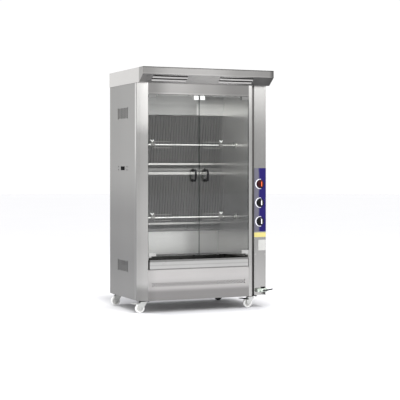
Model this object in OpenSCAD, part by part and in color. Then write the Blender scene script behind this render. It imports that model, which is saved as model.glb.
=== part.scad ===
// Two-spit lamb rotisserie oven: a steel cabinet on casters with glass doors,
// a canopy, radiant burners on its back wall and a control column on its right.
// X runs to the right, Y to the back and Z up. The origin is on the floor, in
// the middle of the space that the whole oven takes.

/* [Cabinet] */
// Height of the whole oven, from the floor to the canopy's top
overall_h = 1900; // [1800:10:2000]
// Depth from the doors' front plane to the back
body_d = 686; // [670:1:760]
// Width between the two jambs
opening_w = 863; // [820:1:900]
// Width of the slanted left jamb
jamb_left_w = 73; // [60:1:90]
// Width of the flat right jamb
jamb_right_w = 27; // [24:1:40]
// How far the left jamb slants back
jamb_slant = 50; // [35:1:60]
// Thickness of the cabinet's sheet steel
sheet = 2; // [1.5:0.5:2.5]
// Height of the plain panel above the doors
valance_h = 88; // [70:1:110]
// Height of the perforated panel at the bottom
apron_h = 238; // [200:1:260]
// Height of the slot that the drip tray slides in
tray_slot_h = 104; // [96:1:120]
// Width and height of the base frame's square tube
frame_tube = 30; // [25:1:40]
// Gap between pieces that are seated on each other
seat = 0.3; // [0.2:0.1:0.4]
// Radial gap of a turning or sliding fit
fit = 0.05; // [0.02:0.01:0.08]

/* [Canopy] */
// Height of the canopy's side band
canopy_h = 115; // [100:1:130]
// How far the canopy stands in front of the doors
canopy_reach = 91; // [70:1:110]
// How far the canopy stands out at each side
canopy_side = 5; // [2:1:10]
// Height of the canopy's front fascia
fascia_h = 56; // [45:1:65]
// Where the slope under the canopy ends, in front of the doors
slope_foot = 12; // [8:1:20]
// Length of each louvre in the slope
louvre_l = 290; // [200:5:320]
// Height of each louvre's slot
louvre_gap = 14; // [8:1:16]
// Distance from the canopy's middle to the middle of a louvre pair
louvre_off = 282; // [240:1:300]

/* [Control column] */
// Width of the control column's front
column_w = 105; // [95:1:130]
// How far the column's front stands behind the doors' front plane
column_set = 40; // [30:1:45]
// Width of the recess between the right jamb and the column
column_gap = 40; // [30:1:50]
// Height above the floor of the switch panel's lower edge
panel_z = 610; // [580:1:640]
// Height of the switch panel
panel_h = 512; // [480:1:540]
// Diameter of a knob
knob_d = 62; // [52:1:68]
// Depth of a knob
knob_t = 26; // [20:1:32]
// Height above the floor of the middle knob
knob_z = 843; // [820:1:860]
// Distance between knobs
knob_pitch = 151; // [130:1:160]

/* [Oven] */
// Distance from the lower back wall to the back of the cabinet
back_gap = 80; // [70:1:100]
// Height of the lower back wall above the doors' foot
lower_wall_h = 159; // [140:1:170]
// Height of the fat ledge under the lower burner
lower_ledge_h = 76; // [70:1:90]
// Height of the fat ledge under the upper burner
upper_ledge_h = 96; // [90:1:110]
// Height of each radiant burner
burner_h = 396; // [360:1:400]
// Distance from a burner's upper edge back to the lower back wall
burner_in = 100; // [96:1:110]
// Angle at which a burner leans forward
burner_lean = 8; // [6:0.5:9]
// Depth of a burner's casing
burner_t = 30; // [20:1:36]
// Distance between the ribs of a burner
rib_pitch = 24; // [20:1:36]
// Radius of the ribs
rib_r = 6; // [3:0.5:7]
// Distance from the flue header back to the lower back wall
header_in = 124; // [118:1:140]

/* [Doors] */
// Thickness of the door glass
glass_t = 8; // [6:1:8]
// Gap between a door and its jamb, valance and sill
door_gap = 3; // [3:0.5:4]
// Gap between the two doors
door_split = 4; // [3:0.5:6]
// Distance from a door's outer edge to its pivot
pivot_in = 16; // [15:0.5:18]
// Diameter of the pivot pins
pivot_d = 8; // [6:0.5:9]
// Length of a pivot clamp
clamp_l = 62; // [50:1:70]
// Height of a pivot clamp
clamp_h = 27; // [24:1:32]
// Thickness of a clamp's cheek
cheek_t = 5; // [4:0.5:5]
// Side of the catch plate at the top of each door
catch_w = 37; // [30:1:48]
// Height of the door handles
handle_h = 98; // [80:1:120]
// Distance from the glass to the middle of the grip
handle_out = 52; // [40:1:60]
// Diameter of the grip
handle_d = 18; // [12:1:20]
// Distance from a door's free edge to its handle
handle_in = 50; // [35:1:70]
// Height above the floor of the middle of the handles
handle_z = 1065; // [1000:5:1150]

/* [Spits] */
// Diameter of a spit
spit_d = 16; // [12:1:18]
// Depth from the doors' front plane to the spits
spit_y = 250; // [230:1:270]
// Height of the lower spit above the doors' foot
lower_spit_h = 289; // [270:1:300]
// Height of the upper spit above the doors' foot
upper_spit_h = 872; // [850:1:890]
// Distance from the left wall to a left fork
fork_left_in = 130; // [110:1:150]
// Distance from the right wall to a right fork
fork_right_in = 130; // [110:1:150]
// Distance of a fork's tines from the spit's middle
tine_off = 24; // [20:1:30]
// Length of a fork's tines
tine_l = 150; // [120:1:170]
// Diameter of a fork's tines
tine_d = 6; // [5:0.5:8]
// Diameter of a fork's hub
hub_d = 34; // [30:1:40]
// Length of a fork's hub
hub_l = 30; // [28:1:34]
// Diameter of the thumbscrews
screw_d = 6; // [5:0.5:7]

/* [Drip tray] */
// Height of the drip tray
tray_h = 74; // [60:1:80]
// Gap between the tray and the lower back wall
tray_back_gap = 46; // [30:1:80]
// Gap between the tray and the left jamb
tray_left_gap = 13; // [8:1:16]
// Gap between the tray and the right jamb
tray_right_gap = 5; // [4:1:10]
// Width of the lip round the tray
tray_lip = 10; // [8:1:14]

/* [Casters] */
// Height of a caster, from the floor to the cabinet
caster_h = 95; // [92:1:110]
// Diameter of a wheel
wheel_d = 75; // [70:1:78]
// Width of a wheel
wheel_w = 24; // [20:1:26]
// Distance of a wheel's axle behind its swivel
trail = 28; // [26:1:30]
// Distance from the cabinet's left side to the left swivels
caster_in_x = 54; // [50:1:60]
// Distance from the cabinet's front and back to the swivels
caster_in_y = 60; // [55:1:70]
// Distance between the left and the right swivels
caster_span = 925; // [850:1:930]
// Distance from a swivel to the end of its brake pedal
pedal_reach = 96; // [90:1:104]
// Diameter of an axle
axle_d = 10; // [8:1:12]

/* [Gas valve] */
// Height of the gas valve above the cabinet's lower edge
valve_up = 42; // [39:1:47]
// Outer diameter of the gas pipe
pipe_d = 21; // [19:1:22]
// Distance of the pipe in front of the column
pipe_out = 20; // [19:1:24]
// Length of the lever from its stem to its end
lever_l = 76; // [60:1:90]
// Bore of the valve's inlet
inlet_d = 18.6; // [16:0.1:19]

/* [Vents] */
// Width of each patch of side vents
vent_w = 240; // [200:1:280]
// Height of each patch of side vents
vent_h = 88; // [70:1:100]
// Length of a vent slot
slot_l = 28; // [16:1:30]
// Height of a vent slot
slot_h = 12; // [8:0.5:12.5]
// Diameter of the holes in the apron
hole_d = 10.5; // [6:0.5:11]
// Distance between the holes in the apron
hole_pitch = 29; // [24:1:34]

/* [Hidden] */
$fn = 48;

// Widths and depths, from the cabinet's left side and the doors' front plane
open_x0 = jamb_left_w;
open_x1 = jamb_left_w + opening_w;
body_w = open_x1 + jamb_right_w;
column_x = body_w + column_gap;
total_w = column_x + column_w;
column_mid = column_x + column_w / 2;
recess_y = column_set + 20;
oven_d = body_d - back_gap;
header_y = oven_d - header_in;
burner_y = oven_d - burner_in;
burner_foot_y = burner_y + burner_h * tan(burner_lean);
tray_d = oven_d - tray_back_gap;

// Heights
canopy_z = overall_h - canopy_h;
valance_z = canopy_z - valance_h;
apron_top = caster_h + apron_h;
door_z = apron_top + tray_slot_h;
frame_top = caster_h + frame_tube;
ceiling_z = canopy_z - 2 * sheet;
lower_ledge_z = door_z + lower_wall_h;
lower_burner_z = lower_ledge_z + lower_ledge_h;
upper_ledge_z = lower_burner_z + burner_h;
upper_burner_z = upper_ledge_z + upper_ledge_h;
header_z = upper_burner_z + burner_h;
lower_spit_z = door_z + lower_spit_h;
upper_spit_z = door_z + upper_spit_h;

// Doors, their catches and the brackets of their pivots
return_d = 14;
flange_d = 46;
pad_h = 24;
plate_h = 30;
plate_t = 4;
bracket_t = 6;
bracket_h = 26;
door_w = (opening_w - 2 * door_gap - door_split) / 2;
door_low = door_z + door_gap;
door_top = valance_z - door_gap;
glass_y = 2;
pivot_y = glass_y + glass_t / 2;
notch_w = 2 * pivot_in;
pin_depth = 20;
left_door_x = open_x0 + door_gap;
right_door_x = open_x1 - door_gap;
pad_d = handle_d + 10;
handle_leg = handle_h / 2 - handle_d / 2;
handle_bend = 20;
bolt_d = 8;

// The ledges below the burners and the tray's lip
band_h = 25;
band_tilt = 5;
trough_d = 32;
trough_h = 19;
trough_up = 8;
hem_t = 12;
hem_h = 15;
lip_h = 12;
slot_gap = 7;
slot_web = 6.5;
louvre_shares = [0.16, 0.5];
louvre_lip = 13;
louvre_lean = 28;
row_step = 10;
row_share = 0.518;

// Spits and forks
bush_t = 8;
bush_d = 44;
wall_hole_d = spit_d + 6;
spit_x0 = open_x0 + 1;
gearbox_t = 40;
gearbox_h = 100;
spit_x1 = body_w + gearbox_t - 8;
motor_d = 64;
motor_l = 72;
motor_cap_l = 12;
fork_bar_t = 8;
screw_in = 10;
wing_w = 9;
wing_l = 17;
wing_lean = 42;

// Casters
mount_l = 90;
mount_w = 75;
mount_t = 4;
race_t = 4;
crown_t = 5;
crown_r = 22;
kingpin_d = 12;
race_low = caster_h - mount_t - race_t;
crown_top = race_low - seat;
crown_low = crown_top - crown_t;
leg_t = 3;
leg_in = wheel_w / 2 + 2;
leg_out = leg_in + leg_t;
axle_z = wheel_d / 2;
pedal_pin_x = -30;
pedal_pin_z = crown_low - 14;
pedal_pin_d = 6;
casters = [
    [caster_in_x, caster_in_y], [caster_in_x + caster_span, caster_in_y],
    [caster_in_x, body_d - caster_in_y], [caster_in_x + caster_span, body_d - caster_in_y]];

// Side cover
cover_w = 78;
cover_h = 30;
cover_t = 3;
cover_screw_y = 100;
cover_screw_z = 12;

// Gas pipes and taps
valve_z = caster_h + valve_up;
manifold_y = column_set + 70;
valve_y = column_set - pipe_out;
inlet_x = column_x + 27;
valve_x = column_mid + 18;
stem_y = valve_y - pipe_d / 2 - 7;
feed_d = 16;
feed_y = oven_d + 30;
tap_d = 24;
shaft_d = 8;
knob_back = column_set - 2 * sheet;
knobs_z = [knob_z + knob_pitch, knob_z, knob_z - knob_pitch];
feed_in = [burner_h - 40, 20];
feeds_z = [lower_burner_z + feed_in[0], upper_burner_z + feed_in[1]];

// Middle of the space that the oven takes
lever_end = valve_x + lever_l;
mid_x = (caster_in_x - pedal_reach + lever_end) / 2;
mid_y = (body_d - canopy_reach) / 2;

// Moves a piece from the corner of the cabinet to the oven's own origin
module at_corner() {
    translate([-mid_x, -mid_y, 0])
        children();
}

// A box between two opposite corners
module block(low, high) {
    translate(low)
        cube(high - low);
}

// A cylinder along X
module rod_x(x0, x1, y, z, d) {
    translate([x0, y, z])
        rotate([0, 90, 0])
            cylinder(d = d, h = x1 - x0);
}

// A cylinder along Y
module rod_y(x, y0, y1, z, d) {
    translate([x, y0, z])
        rotate([-90, 0, 0])
            cylinder(d = d, h = y1 - y0);
}

// A cylinder along Z
module rod_z(x, y, z0, z1, d) {
    translate([x, y, z0])
        cylinder(d = d, h = z1 - z0);
}

// A hexagonal nut along X
module nut_x(x0, x1, y, z, across) {
    translate([x0, y, z])
        rotate([0, 90, 0])
            cylinder(d = across / cos(30), h = x1 - x0, $fn = 6);
}

// A hexagonal bolt head along Z
module head_z(x, y, z0, z1, across) {
    translate([x, y, z0])
        cylinder(d = across / cos(30), h = z1 - z0, $fn = 6);
}

// A square tube along X, open at its ends
module tube_x(x0, x1, y, z) {
    difference() {
        block([x0, y, z], [x1, y + frame_tube, z + frame_tube]);
        block([x0 - 1, y + sheet, z + sheet],
            [x1 + 1, y + frame_tube - sheet, z + frame_tube - sheet]);
    }
}

// A square tube along Y, open at its ends
module tube_y(x, y0, y1, z) {
    difference() {
        block([x, y0, z], [x + frame_tube, y1, z + frame_tube]);
        block([x + sheet, y0 - 1, z + sheet],
            [x + frame_tube - sheet, y1 + 1, z + frame_tube - sheet]);
    }
}

// A slot with round ends along Y, cut through a sheet that lies in YZ
module vent_slot(x, y, z) {
    block([x, y - slot_l / 2 + slot_h / 2, z - slot_h / 2],
        [x + 3 * sheet, y + slot_l / 2 - slot_h / 2, z + slot_h / 2]);
    for (end = [-1, 1]) {
        rod_x(x, x + 3 * sheet, y + end * (slot_l - slot_h) / 2, z, slot_h);
    }
}

// A patch of vent slots round one point of a side panel, one fewer in each second column
module vent_patch(x, y, z) {
    pitch_y = slot_l + slot_gap;
    pitch_z = slot_h + slot_web;
    columns = floor((vent_w + slot_gap) / pitch_y);
    rows = floor((vent_h + slot_web) / pitch_z);
    for (column = [0 : columns - 1], row = [0 : rows - 1 - column % 2]) {
        vent_slot(x, y + (column - (columns - 1) / 2) * pitch_y,
            z + (row - (rows - 1 - column % 2) / 2) * pitch_z);
    }
}

module base_frame() {
    front = jamb_slant + return_d;
    back = body_d - sheet;
    left = sheet;
    right = total_w - sheet;
    color("silver")
        at_corner() {
            tube_x(left, right, front, caster_h);
            tube_x(left, right, back - frame_tube, caster_h);
            for (x = [left, body_w - frame_tube, right - frame_tube]) {
                tube_y(x, front + frame_tube, back - frame_tube, caster_h);
            }
            block([left, front, frame_top - sheet], [right, back, frame_top]);
        }
}

module caster_plates() {
    color("dimgray")
        at_corner() {
            for (place = casters) {
                translate([place.x, place.y, 0]) {
                    block([-mount_l / 2, -mount_w / 2, caster_h - mount_t],
                        [mount_l / 2, mount_w / 2, caster_h]);
                    rod_z(0, 0, race_low, caster_h - mount_t, 2 * crown_r - 4);
                    rod_z(0, 0, crown_low - seat - 5, race_low, kingpin_d);
                    rod_z(0, 0, crown_low - seat - 5, crown_low - seat, kingpin_d + 8);
                    for (side_x = [-1, 1], side_y = [-1, 1]) {
                        head_z(side_x * (mount_l / 2 - 10), side_y * (mount_w / 2 - 10),
                            caster_h - mount_t - 4, caster_h - mount_t, 10);
                    }
                }
            }
        }
}

module left_side_panel() {
    front = jamb_slant + return_d;
    middle = front + (body_d - front) / 2;
    color("silver")
        at_corner() {
            difference() {
                block([0, front + seat, caster_h], [sheet, body_d, canopy_z]);
                vent_patch(-sheet, middle, canopy_z - 226);
                vent_patch(-sheet, middle, caster_h + 250);
            }
            block([sheet, front + seat, frame_top + seat],
                [jamb_slant / 2, front + seat + sheet, canopy_z]);
        }
}

module right_side_panel() {
    color("silver")
        at_corner() {
            difference() {
                block([body_w - sheet, recess_y + seat, frame_top],
                    [body_w, body_d - sheet, canopy_z]);
                for (z = [lower_spit_z, upper_spit_z]) {
                    rod_x(body_w - 2 * sheet, body_w + sheet, spit_y, z, wall_hole_d);
                }
                for (z = feeds_z) {
                    rod_x(body_w - 2 * sheet, body_w + sheet, feed_y, z, feed_d + 1);
                }
            }
        }
}

module back_panel() {
    pitch = 110;
    color("silver")
        at_corner() {
            difference() {
                block([sheet, body_d - sheet, caster_h], [body_w, body_d, canopy_z]);
                for (row = [0 : 7], side = [-1, 1]) {
                    block([body_w / 2 + side * pitch - pitch / 3, body_d - 2 * sheet,
                            canopy_z - 240 + row * 20],
                        [body_w / 2 + side * pitch + pitch / 3, body_d + sheet,
                            canopy_z - 240 + row * 20 + slot_h]);
                }
            }
        }
}

module left_inner_wall() {
    color("gainsboro")
        at_corner()
            block([open_x0 - sheet, return_d + seat, apron_top],
                [open_x0, oven_d + sheet, ceiling_z]);
}

module right_inner_wall() {
    color("gainsboro")
        at_corner() {
            difference() {
                block([open_x1, return_d + seat, apron_top],
                    [open_x1 + sheet, body_d - 2 * sheet, ceiling_z]);
                for (z = [lower_spit_z, upper_spit_z]) {
                    rod_x(open_x1 - sheet, open_x1 + 2 * sheet, spit_y, z, wall_hole_d);
                }
                for (z = feeds_z) {
                    rod_x(open_x1 - sheet, open_x1 + 2 * sheet, feed_y, z, feed_d + 1);
                }
            }
        }
}

// The way out for the flue gas, cut through the ceiling and the canopy's floor
module flue_slot() {
    block([open_x0 + 80, header_y - 90, ceiling_z - 1],
        [open_x1 - 80, header_y - 30, canopy_z + 2 * sheet]);
}

module oven_ceiling() {
    color("gainsboro")
        at_corner() {
            difference() {
                block([open_x0 - sheet, return_d + seat, ceiling_z],
                    [open_x1 + sheet, header_y + sheet, ceiling_z + sheet]);
                flue_slot();
            }
        }
}

module oven_floor() {
    color("gainsboro")
        at_corner()
            block([open_x0 + seat, return_d + seat, apron_top],
                [open_x1 - seat, oven_d - seat, apron_top + sheet]);
}

module flue_header() {
    hem = 6;
    color("gainsboro")
        at_corner() {
            block([open_x0 + seat, header_y, header_z + hem],
                [open_x1 - seat, header_y + sheet, ceiling_z - seat]);
            block([open_x0 + seat, header_y - hem, header_z + seat],
                [open_x1 - seat, burner_y + burner_t / 2, header_z + hem]);
        }
}

module lower_back_wall() {
    color("gainsboro")
        at_corner()
            block([open_x0 + seat, oven_d, apron_top],
                [open_x1 - seat, oven_d + sheet, lower_ledge_z]);
}

// One radiant burner: a leaning casing with a ribbed front
module burner(z) {
    count = floor((opening_w - 2 * seat) / rib_pitch);
    width = opening_w - 2 * seat;
    face = burner_h / cos(burner_lean) - burner_t * tan(burner_lean);
    translate([open_x0 + seat, burner_foot_y, z])
        rotate([burner_lean, 0, 0]) {
            difference() {
                block([0, 0, burner_t * tan(burner_lean)], [width, burner_t, face]);
                block([sheet, sheet, burner_t * tan(burner_lean) + sheet],
                    [width - sheet, burner_t - sheet, face - sheet]);
            }
            for (rib = [0 : count - 1]) {
                rod_z(width / 2 + (rib - (count - 1) / 2) * rib_pitch, 0,
                    burner_t * tan(burner_lean) + 2 * sheet, face - 2 * sheet, 2 * rib_r);
            }
        }
}

module upper_burner() {
    color("dimgray")
        at_corner()
            burner(upper_burner_z);
}

module lower_burner() {
    color("dimgray")
        at_corner()
            burner(lower_burner_z);
}

// A strip along X with its outline in YZ
module strip(x0, x1, outline) {
    translate([x0, 0, 0])
        rotate([90, 0, 90])
            linear_extrude(x1 - x0)
                polygon(outline);
}

// A trough that catches fat below a burner, with a sloped back and a boxed hem above it
module fat_ledge(z, height, band) {
    x0 = open_x0 + seat;
    x1 = open_x1 - seat;
    front = burner_foot_y - trough_d;
    back = burner_foot_y + sheet;
    floor_z = z + band + trough_up;
    mouth_z = floor_z + trough_h;
    top = z + height - 1;
    hem_z = top - hem_h / 2;
    block([x0, back - sheet, z + band + seat], [x1, back, z + height - seat]);
    block([x0, front, floor_z], [x1, back, floor_z + sheet]);
    block([x0, front, floor_z], [x1, front + sheet, mouth_z]);
    strip(x0, x1, [[front + 2, top - hem_h], [front + hem_t, top - hem_h],
        [front + hem_t, top], [front + 4, top]]);
    block([x0, front + hem_t - 1, hem_z], [x1, back, z + height - seat]);
    strip(x0, x1, [[front + hem_t / 2, hem_z], [front + hem_t, hem_z],
        [back, mouth_z + sheet], [back, mouth_z - sheet]]);
}

module fat_ledges() {
    x0 = open_x0 + seat;
    x1 = open_x1 - seat;
    band_top = upper_ledge_z + band_h;
    shelf_z = lower_ledge_z + trough_up;
    color("darkgray")
        at_corner() {
            fat_ledge(upper_ledge_z, upper_ledge_h, band_h);
            strip(x0, x1, [[burner_y - band_tilt, upper_ledge_z + seat],
                [burner_y - band_tilt + sheet, upper_ledge_z + seat],
                [burner_y + sheet, band_top - sheet], [burner_y + sheet, band_top],
                [burner_y, band_top]]);
            block([x0, burner_y, band_top - sheet], [x1, burner_foot_y + sheet, band_top]);
            block([x0, burner_foot_y, band_top - sheet],
                [x1, burner_foot_y + sheet, band_top + trough_up]);
            fat_ledge(lower_ledge_z, lower_ledge_h, 0);
            block([x0, burner_foot_y, shelf_z], [x1, oven_d + sheet, shelf_z + sheet]);
            block([x0, oven_d, lower_ledge_z + seat], [x1, oven_d + sheet, shelf_z + sheet]);
        }
}

// The slanted left jamb, folded from one sheet
module left_jamb() {
    side = jamb_slant + return_d;
    slope_x = sheet * (sqrt(pow(jamb_left_w, 2) + pow(jamb_slant, 2)) / jamb_slant);
    slope_y = sheet * (sqrt(pow(jamb_left_w, 2) + pow(jamb_slant, 2)) / jamb_left_w);
    inner = [
        [sheet, jamb_slant + slope_y - sheet * jamb_slant / jamb_left_w],
        [open_x0 - sheet, slope_y + sheet * jamb_slant / jamb_left_w]];
    color("whitesmoke")
        at_corner()
            translate([0, 0, caster_h])
                linear_extrude(canopy_z - caster_h)
                    polygon([
                        [0, side], [0, jamb_slant], [open_x0, 0], [open_x0, return_d],
                        [open_x0 - sheet, return_d], inner[1], inner[0], [sheet, side]]);
}

module right_jamb() {
    color("whitesmoke")
        at_corner() {
            block([open_x1, 0, caster_h], [body_w, sheet, canopy_z]);
            block([open_x1, 0, caster_h], [open_x1 + sheet, return_d, canopy_z]);
            block([body_w - sheet, 0, caster_h], [body_w, recess_y, canopy_z]);
        }
}

module valance() {
    color("silver")
        at_corner() {
            difference() {
                union() {
                    block([open_x0 + seat, 0, valance_z], [open_x1 - seat, sheet, canopy_z]);
                    block([open_x0 + seat, 0, valance_z],
                        [open_x1 - seat, flange_d, valance_z + sheet]);
                }
                for (x = [left_door_x + pivot_in, right_door_x - pivot_in]) {
                    rod_z(x, pivot_y, valance_z - sheet, valance_z + 2 * sheet,
                        pivot_d + 2 * seat);
                }
            }
        }
}

module front_apron() {
    columns = floor((opening_w - 40) / hole_pitch);
    x_mid = (open_x0 + open_x1) / 2;
    row_z = caster_h + apron_h * row_share;
    color("silver")
        at_corner() {
            difference() {
                block([open_x0 + seat, 0, caster_h], [open_x1 - seat, sheet, apron_top]);
                for (row = [-1 : 1], column = [0 : columns - 2 + abs(row)]) {
                    rod_y(x_mid + (column - (columns - 2 + abs(row)) / 2) * hole_pitch,
                        -sheet, 2 * sheet, row_z + row * row_step, hole_d);
                }
            }
            block([open_x0 + seat, 0, caster_h],
                [open_x1 - seat, jamb_slant + return_d - seat, caster_h + sheet]);
            block([open_x0 + seat, 0, apron_top - sheet],
                [open_x1 - seat, return_d + 6, apron_top]);
        }
}

// The canopy's outline in YZ, drawn in by a wall
function canopy_outline(wall) =
    let (run = canopy_reach - slope_foot, rise = canopy_h - fascia_h,
        length = sqrt(run * run + rise * rise),
        in_y = wall * (length - run) / rise, in_z = wall * (length - rise) / run)
    [
        [body_d - wall, canopy_z + wall], [body_d - wall, overall_h - wall],
        [-canopy_reach + wall, overall_h - wall],
        [-canopy_reach + wall, overall_h - fascia_h + in_z],
        [-slope_foot + in_y, canopy_z + wall]];

// A solid with the canopy's outline, between two places along X
module canopy_solid(x0, x1, wall) {
    translate([x0, 0, 0])
        rotate([90, 0, 90])
            linear_extrude(x1 - x0)
                polygon(canopy_outline(wall));
}

// Places its children on the slope, at a share of its way down
module on_slope(share, x) {
    run = canopy_reach - slope_foot;
    rise = canopy_h - fascia_h;
    translate([x, -canopy_reach + run * share, overall_h - fascia_h - rise * share])
        rotate([-atan2(rise, run), 0, 0])
            children();
}

module canopy() {
    x0 = -canopy_side;
    x1 = total_w + canopy_side;
    x_mid = total_w / 2 - 40;
    color("gray")
        at_corner() {
            difference() {
                canopy_solid(x0, x1, 0);
                canopy_solid(x0 + sheet, x1 - sheet, sheet);
                flue_slot();
                for (share = louvre_shares, side = [-1, 1]) {
                    on_slope(share, x_mid + side * louvre_off)
                        block([-louvre_l / 2, 0, -2 * sheet],
                            [louvre_l / 2, louvre_gap, 2 * sheet]);
                }
            }
            for (share = louvre_shares, side = [-1, 1]) {
                on_slope(share, x_mid + side * louvre_off)
                    translate([0, louvre_gap, 0])
                        rotate([-louvre_lean, 0, 0])
                            block([-louvre_l / 2, 0, 0], [louvre_l / 2, louvre_lip, sheet / 2]);
            }
        }
}

module control_box() {
    right = total_w - sheet;
    back = body_d - sheet;
    color("silver")
        at_corner() {
            block([right, column_set + sheet + seat, caster_h], [total_w, body_d, canopy_z]);
            block([body_w + seat, back, caster_h], [right, body_d, canopy_z]);
            block([body_w + seat, recess_y, caster_h], [column_x + sheet, recess_y + sheet,
                canopy_z]);
            block([column_x, column_set + sheet + seat, caster_h],
                [column_x + sheet, recess_y + sheet, canopy_z]);
            block([body_w + seat, recess_y, canopy_z - sheet], [right, back, canopy_z]);
        }
}

module control_front() {
    color("whitesmoke")
        at_corner() {
            difference() {
                block([column_x, column_set, caster_h + sheet],
                    [total_w, column_set + sheet, canopy_z - seat]);
                block([valve_x - 12, column_set - sheet, caster_h],
                    [total_w - 6, column_set + 2 * sheet, valve_z + 26]);
                rod_y(inlet_x, column_set - sheet, column_set + 2 * sheet, valve_z,
                    pipe_d + 2 * seat);
                for (z = knobs_z) {
                    rod_y(column_mid, column_set - sheet, column_set + 2 * sheet, z,
                        tap_d + 2 * seat);
                }
            }
        }
}

module switch_panel() {
    color("darkslateblue")
        at_corner() {
            difference() {
                block([column_x, column_set - sheet, panel_z],
                    [total_w, column_set, panel_z + panel_h]);
                for (z = knobs_z) {
                    rod_y(column_mid, column_set - 2 * sheet, column_set + sheet, z,
                        shaft_d + 4);
                }
            }
        }
}

module door_catches() {
    color("white")
        at_corner() {
            for (x = [left_door_x + door_w - catch_w / 2 - 6,
                    right_door_x - door_w + catch_w / 2 + 6]) {
                block([x - plate_h / 2, glass_y + glass_t + plate_t + seat, valance_z - pad_h],
                    [x + plate_h / 2, flange_d, valance_z]);
            }
        }
}

// The pins on which one door turns, with the bracket that carries its weight
module door_pivot(edge_x, side) {
    x = edge_x + side * (door_gap + pivot_in);
    rod_z(x, pivot_y, door_top - pin_depth + 2, valance_z + sheet, pivot_d);
    block([x - pivot_d, sheet + seat, valance_z + sheet],
        [x + pivot_d, return_d, valance_z + sheet + 4]);
    rod_z(x, pivot_y, door_z, door_low + pin_depth - 2, pivot_d);
    rod_z(x, pivot_y, door_z, door_low - seat, 2 * pivot_d);
    bracket_x = [edge_x, edge_x + side * (door_gap + pivot_in + pivot_d)];
    block([min(bracket_x), 0, door_z - bracket_t], [max(bracket_x), return_d, door_z]);
    leg_x = [edge_x, edge_x + side * door_gap];
    block([min(leg_x), 0, door_z - bracket_h], [max(leg_x), return_d, door_z]);
}

module door_pivots() {
    color("lightgray")
        at_corner() {
            door_pivot(open_x0, 1);
            door_pivot(open_x1, -1);
        }
}

// A bush on each wall for each spit
module spit_bearings() {
    color("lightgray")
        at_corner() {
            for (z = [lower_spit_z, upper_spit_z]) {
                difference() {
                    union() {
                        rod_x(open_x0, open_x0 + bush_t, spit_y, z, bush_d);
                        rod_x(open_x1 - bush_t, open_x1, spit_y, z, bush_d);
                    }
                    rod_x(open_x0 - 1, open_x1 + 1, spit_y, z, spit_d + 2 * fit);
                }
            }
        }
}

// A gearbox and motor for each spit, on the outside of the oven's right wall
module spit_gearmotors() {
    x0 = body_w;
    x1 = body_w + gearbox_t;
    color("slategray")
        at_corner() {
            for (z = [lower_spit_z, upper_spit_z]) {
                difference() {
                    block([x0, spit_y - gearbox_h / 2, z - gearbox_h / 2],
                        [x1, spit_y + gearbox_h / 2, z + gearbox_h / 2]);
                    rod_x(x0 - 1, spit_x1 + 1, spit_y, z, spit_d + 2 * fit);
                }
                rod_x(x1, x1 + motor_l, spit_y, z, motor_d);
                rod_x(x1 + motor_l, x1 + motor_l + motor_cap_l, spit_y, z, motor_d * 0.75);
            }
        }
}

// The pipe that feeds the taps and the burners
module gas_manifold() {
    top = feeds_z[1];
    color("goldenrod")
        at_corner() {
            difference() {
                union() {
                    rod_z(column_mid, manifold_y, valve_z, top, pipe_d);
                    for (z = knobs_z) {
                        rod_y(column_mid, column_set + seat, manifold_y, z, tap_d);
                    }
                }
                for (z = knobs_z) {
                    rod_y(column_mid, column_set - 1, column_set + 44, z,
                        shaft_d + 2 * fit);
                }
            }
            for (feed = [0, 1]) {
                z = feeds_z[feed];
                burner_back = burner_foot_y - feed_in[feed] * tan(burner_lean)
                    + (burner_t + feed_d / 2 * sin(burner_lean)) / cos(burner_lean);
                rod_y(column_mid, manifold_y, feed_y, z, feed_d);
                rod_x(open_x1 - 20, column_mid, feed_y, z, feed_d);
                rod_y(open_x1 - 20, burner_back + seat, feed_y, z, feed_d);
                for (x = [open_x1 - 20, column_mid]) {
                    translate([x, feed_y, z])
                        sphere(d = feed_d);
                }
            }
            rod_x(inlet_x, column_mid, manifold_y, valve_z, pipe_d);
            for (x = [inlet_x, column_mid]) {
                translate([x, manifold_y, valve_z])
                    sphere(d = pipe_d);
            }
            translate([column_mid, manifold_y, top])
                sphere(d = pipe_d);
        }
}

// The pipe's elbow in front of the column and the body of the shut-off valve
module gas_valve() {
    elbow_d = pipe_d + 5;
    barrel_d = pipe_d + 9;
    end_x = total_w;
    color("silver")
        at_corner() {
            difference() {
                union() {
                    rod_y(inlet_x, valve_y, manifold_y - pipe_d / 2 - seat, valve_z, pipe_d);
                    rod_z(inlet_x, valve_y, valve_z - elbow_d / 2, valve_z + elbow_d / 2,
                        elbow_d);
                    rod_x(inlet_x, valve_x, valve_y, valve_z, pipe_d);
                    nut_x(inlet_x + 15, inlet_x + 29, valve_y, valve_z, pipe_d + 8);
                    rod_x(valve_x - 17, valve_x + 17, valve_y, valve_z, barrel_d);
                    nut_x(valve_x + 16, end_x, valve_y, valve_z, pipe_d + 7);
                    rod_y(valve_x, stem_y + seat, valve_y, valve_z, 16);
                }
                rod_x(end_x - 14, end_x + 1, valve_y, valve_z, inlet_d);
                rod_y(valve_x, stem_y - 1, stem_y + 10, valve_z, shaft_d + 2 * fit);
            }
        }
}

// The lever of the gas valve, bent up towards its grip
module valve_lever() {
    width = 11;
    thick = 4;
    bend = 8;
    flat = 22;
    rest = lever_l - flat;
    color("dimgray")
        at_corner()
            translate([valve_x, stem_y, valve_z]) {
                rod_y(0, 0, 9, 0, shaft_d);
                rod_y(0, -thick, 0, 0, 18);
                block([0, -thick, -width / 2], [flat, 0, width / 2]);
                translate([flat, -thick, 0])
                    rotate([90, 0, 0])
                        mirror([0, 0, 1])
                            linear_extrude(thick)
                                polygon([
                                    [0, -width / 2], [rest, bend - width / 2],
                                    [rest, bend + width / 2], [0, width / 2]]);
            }
}

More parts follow.
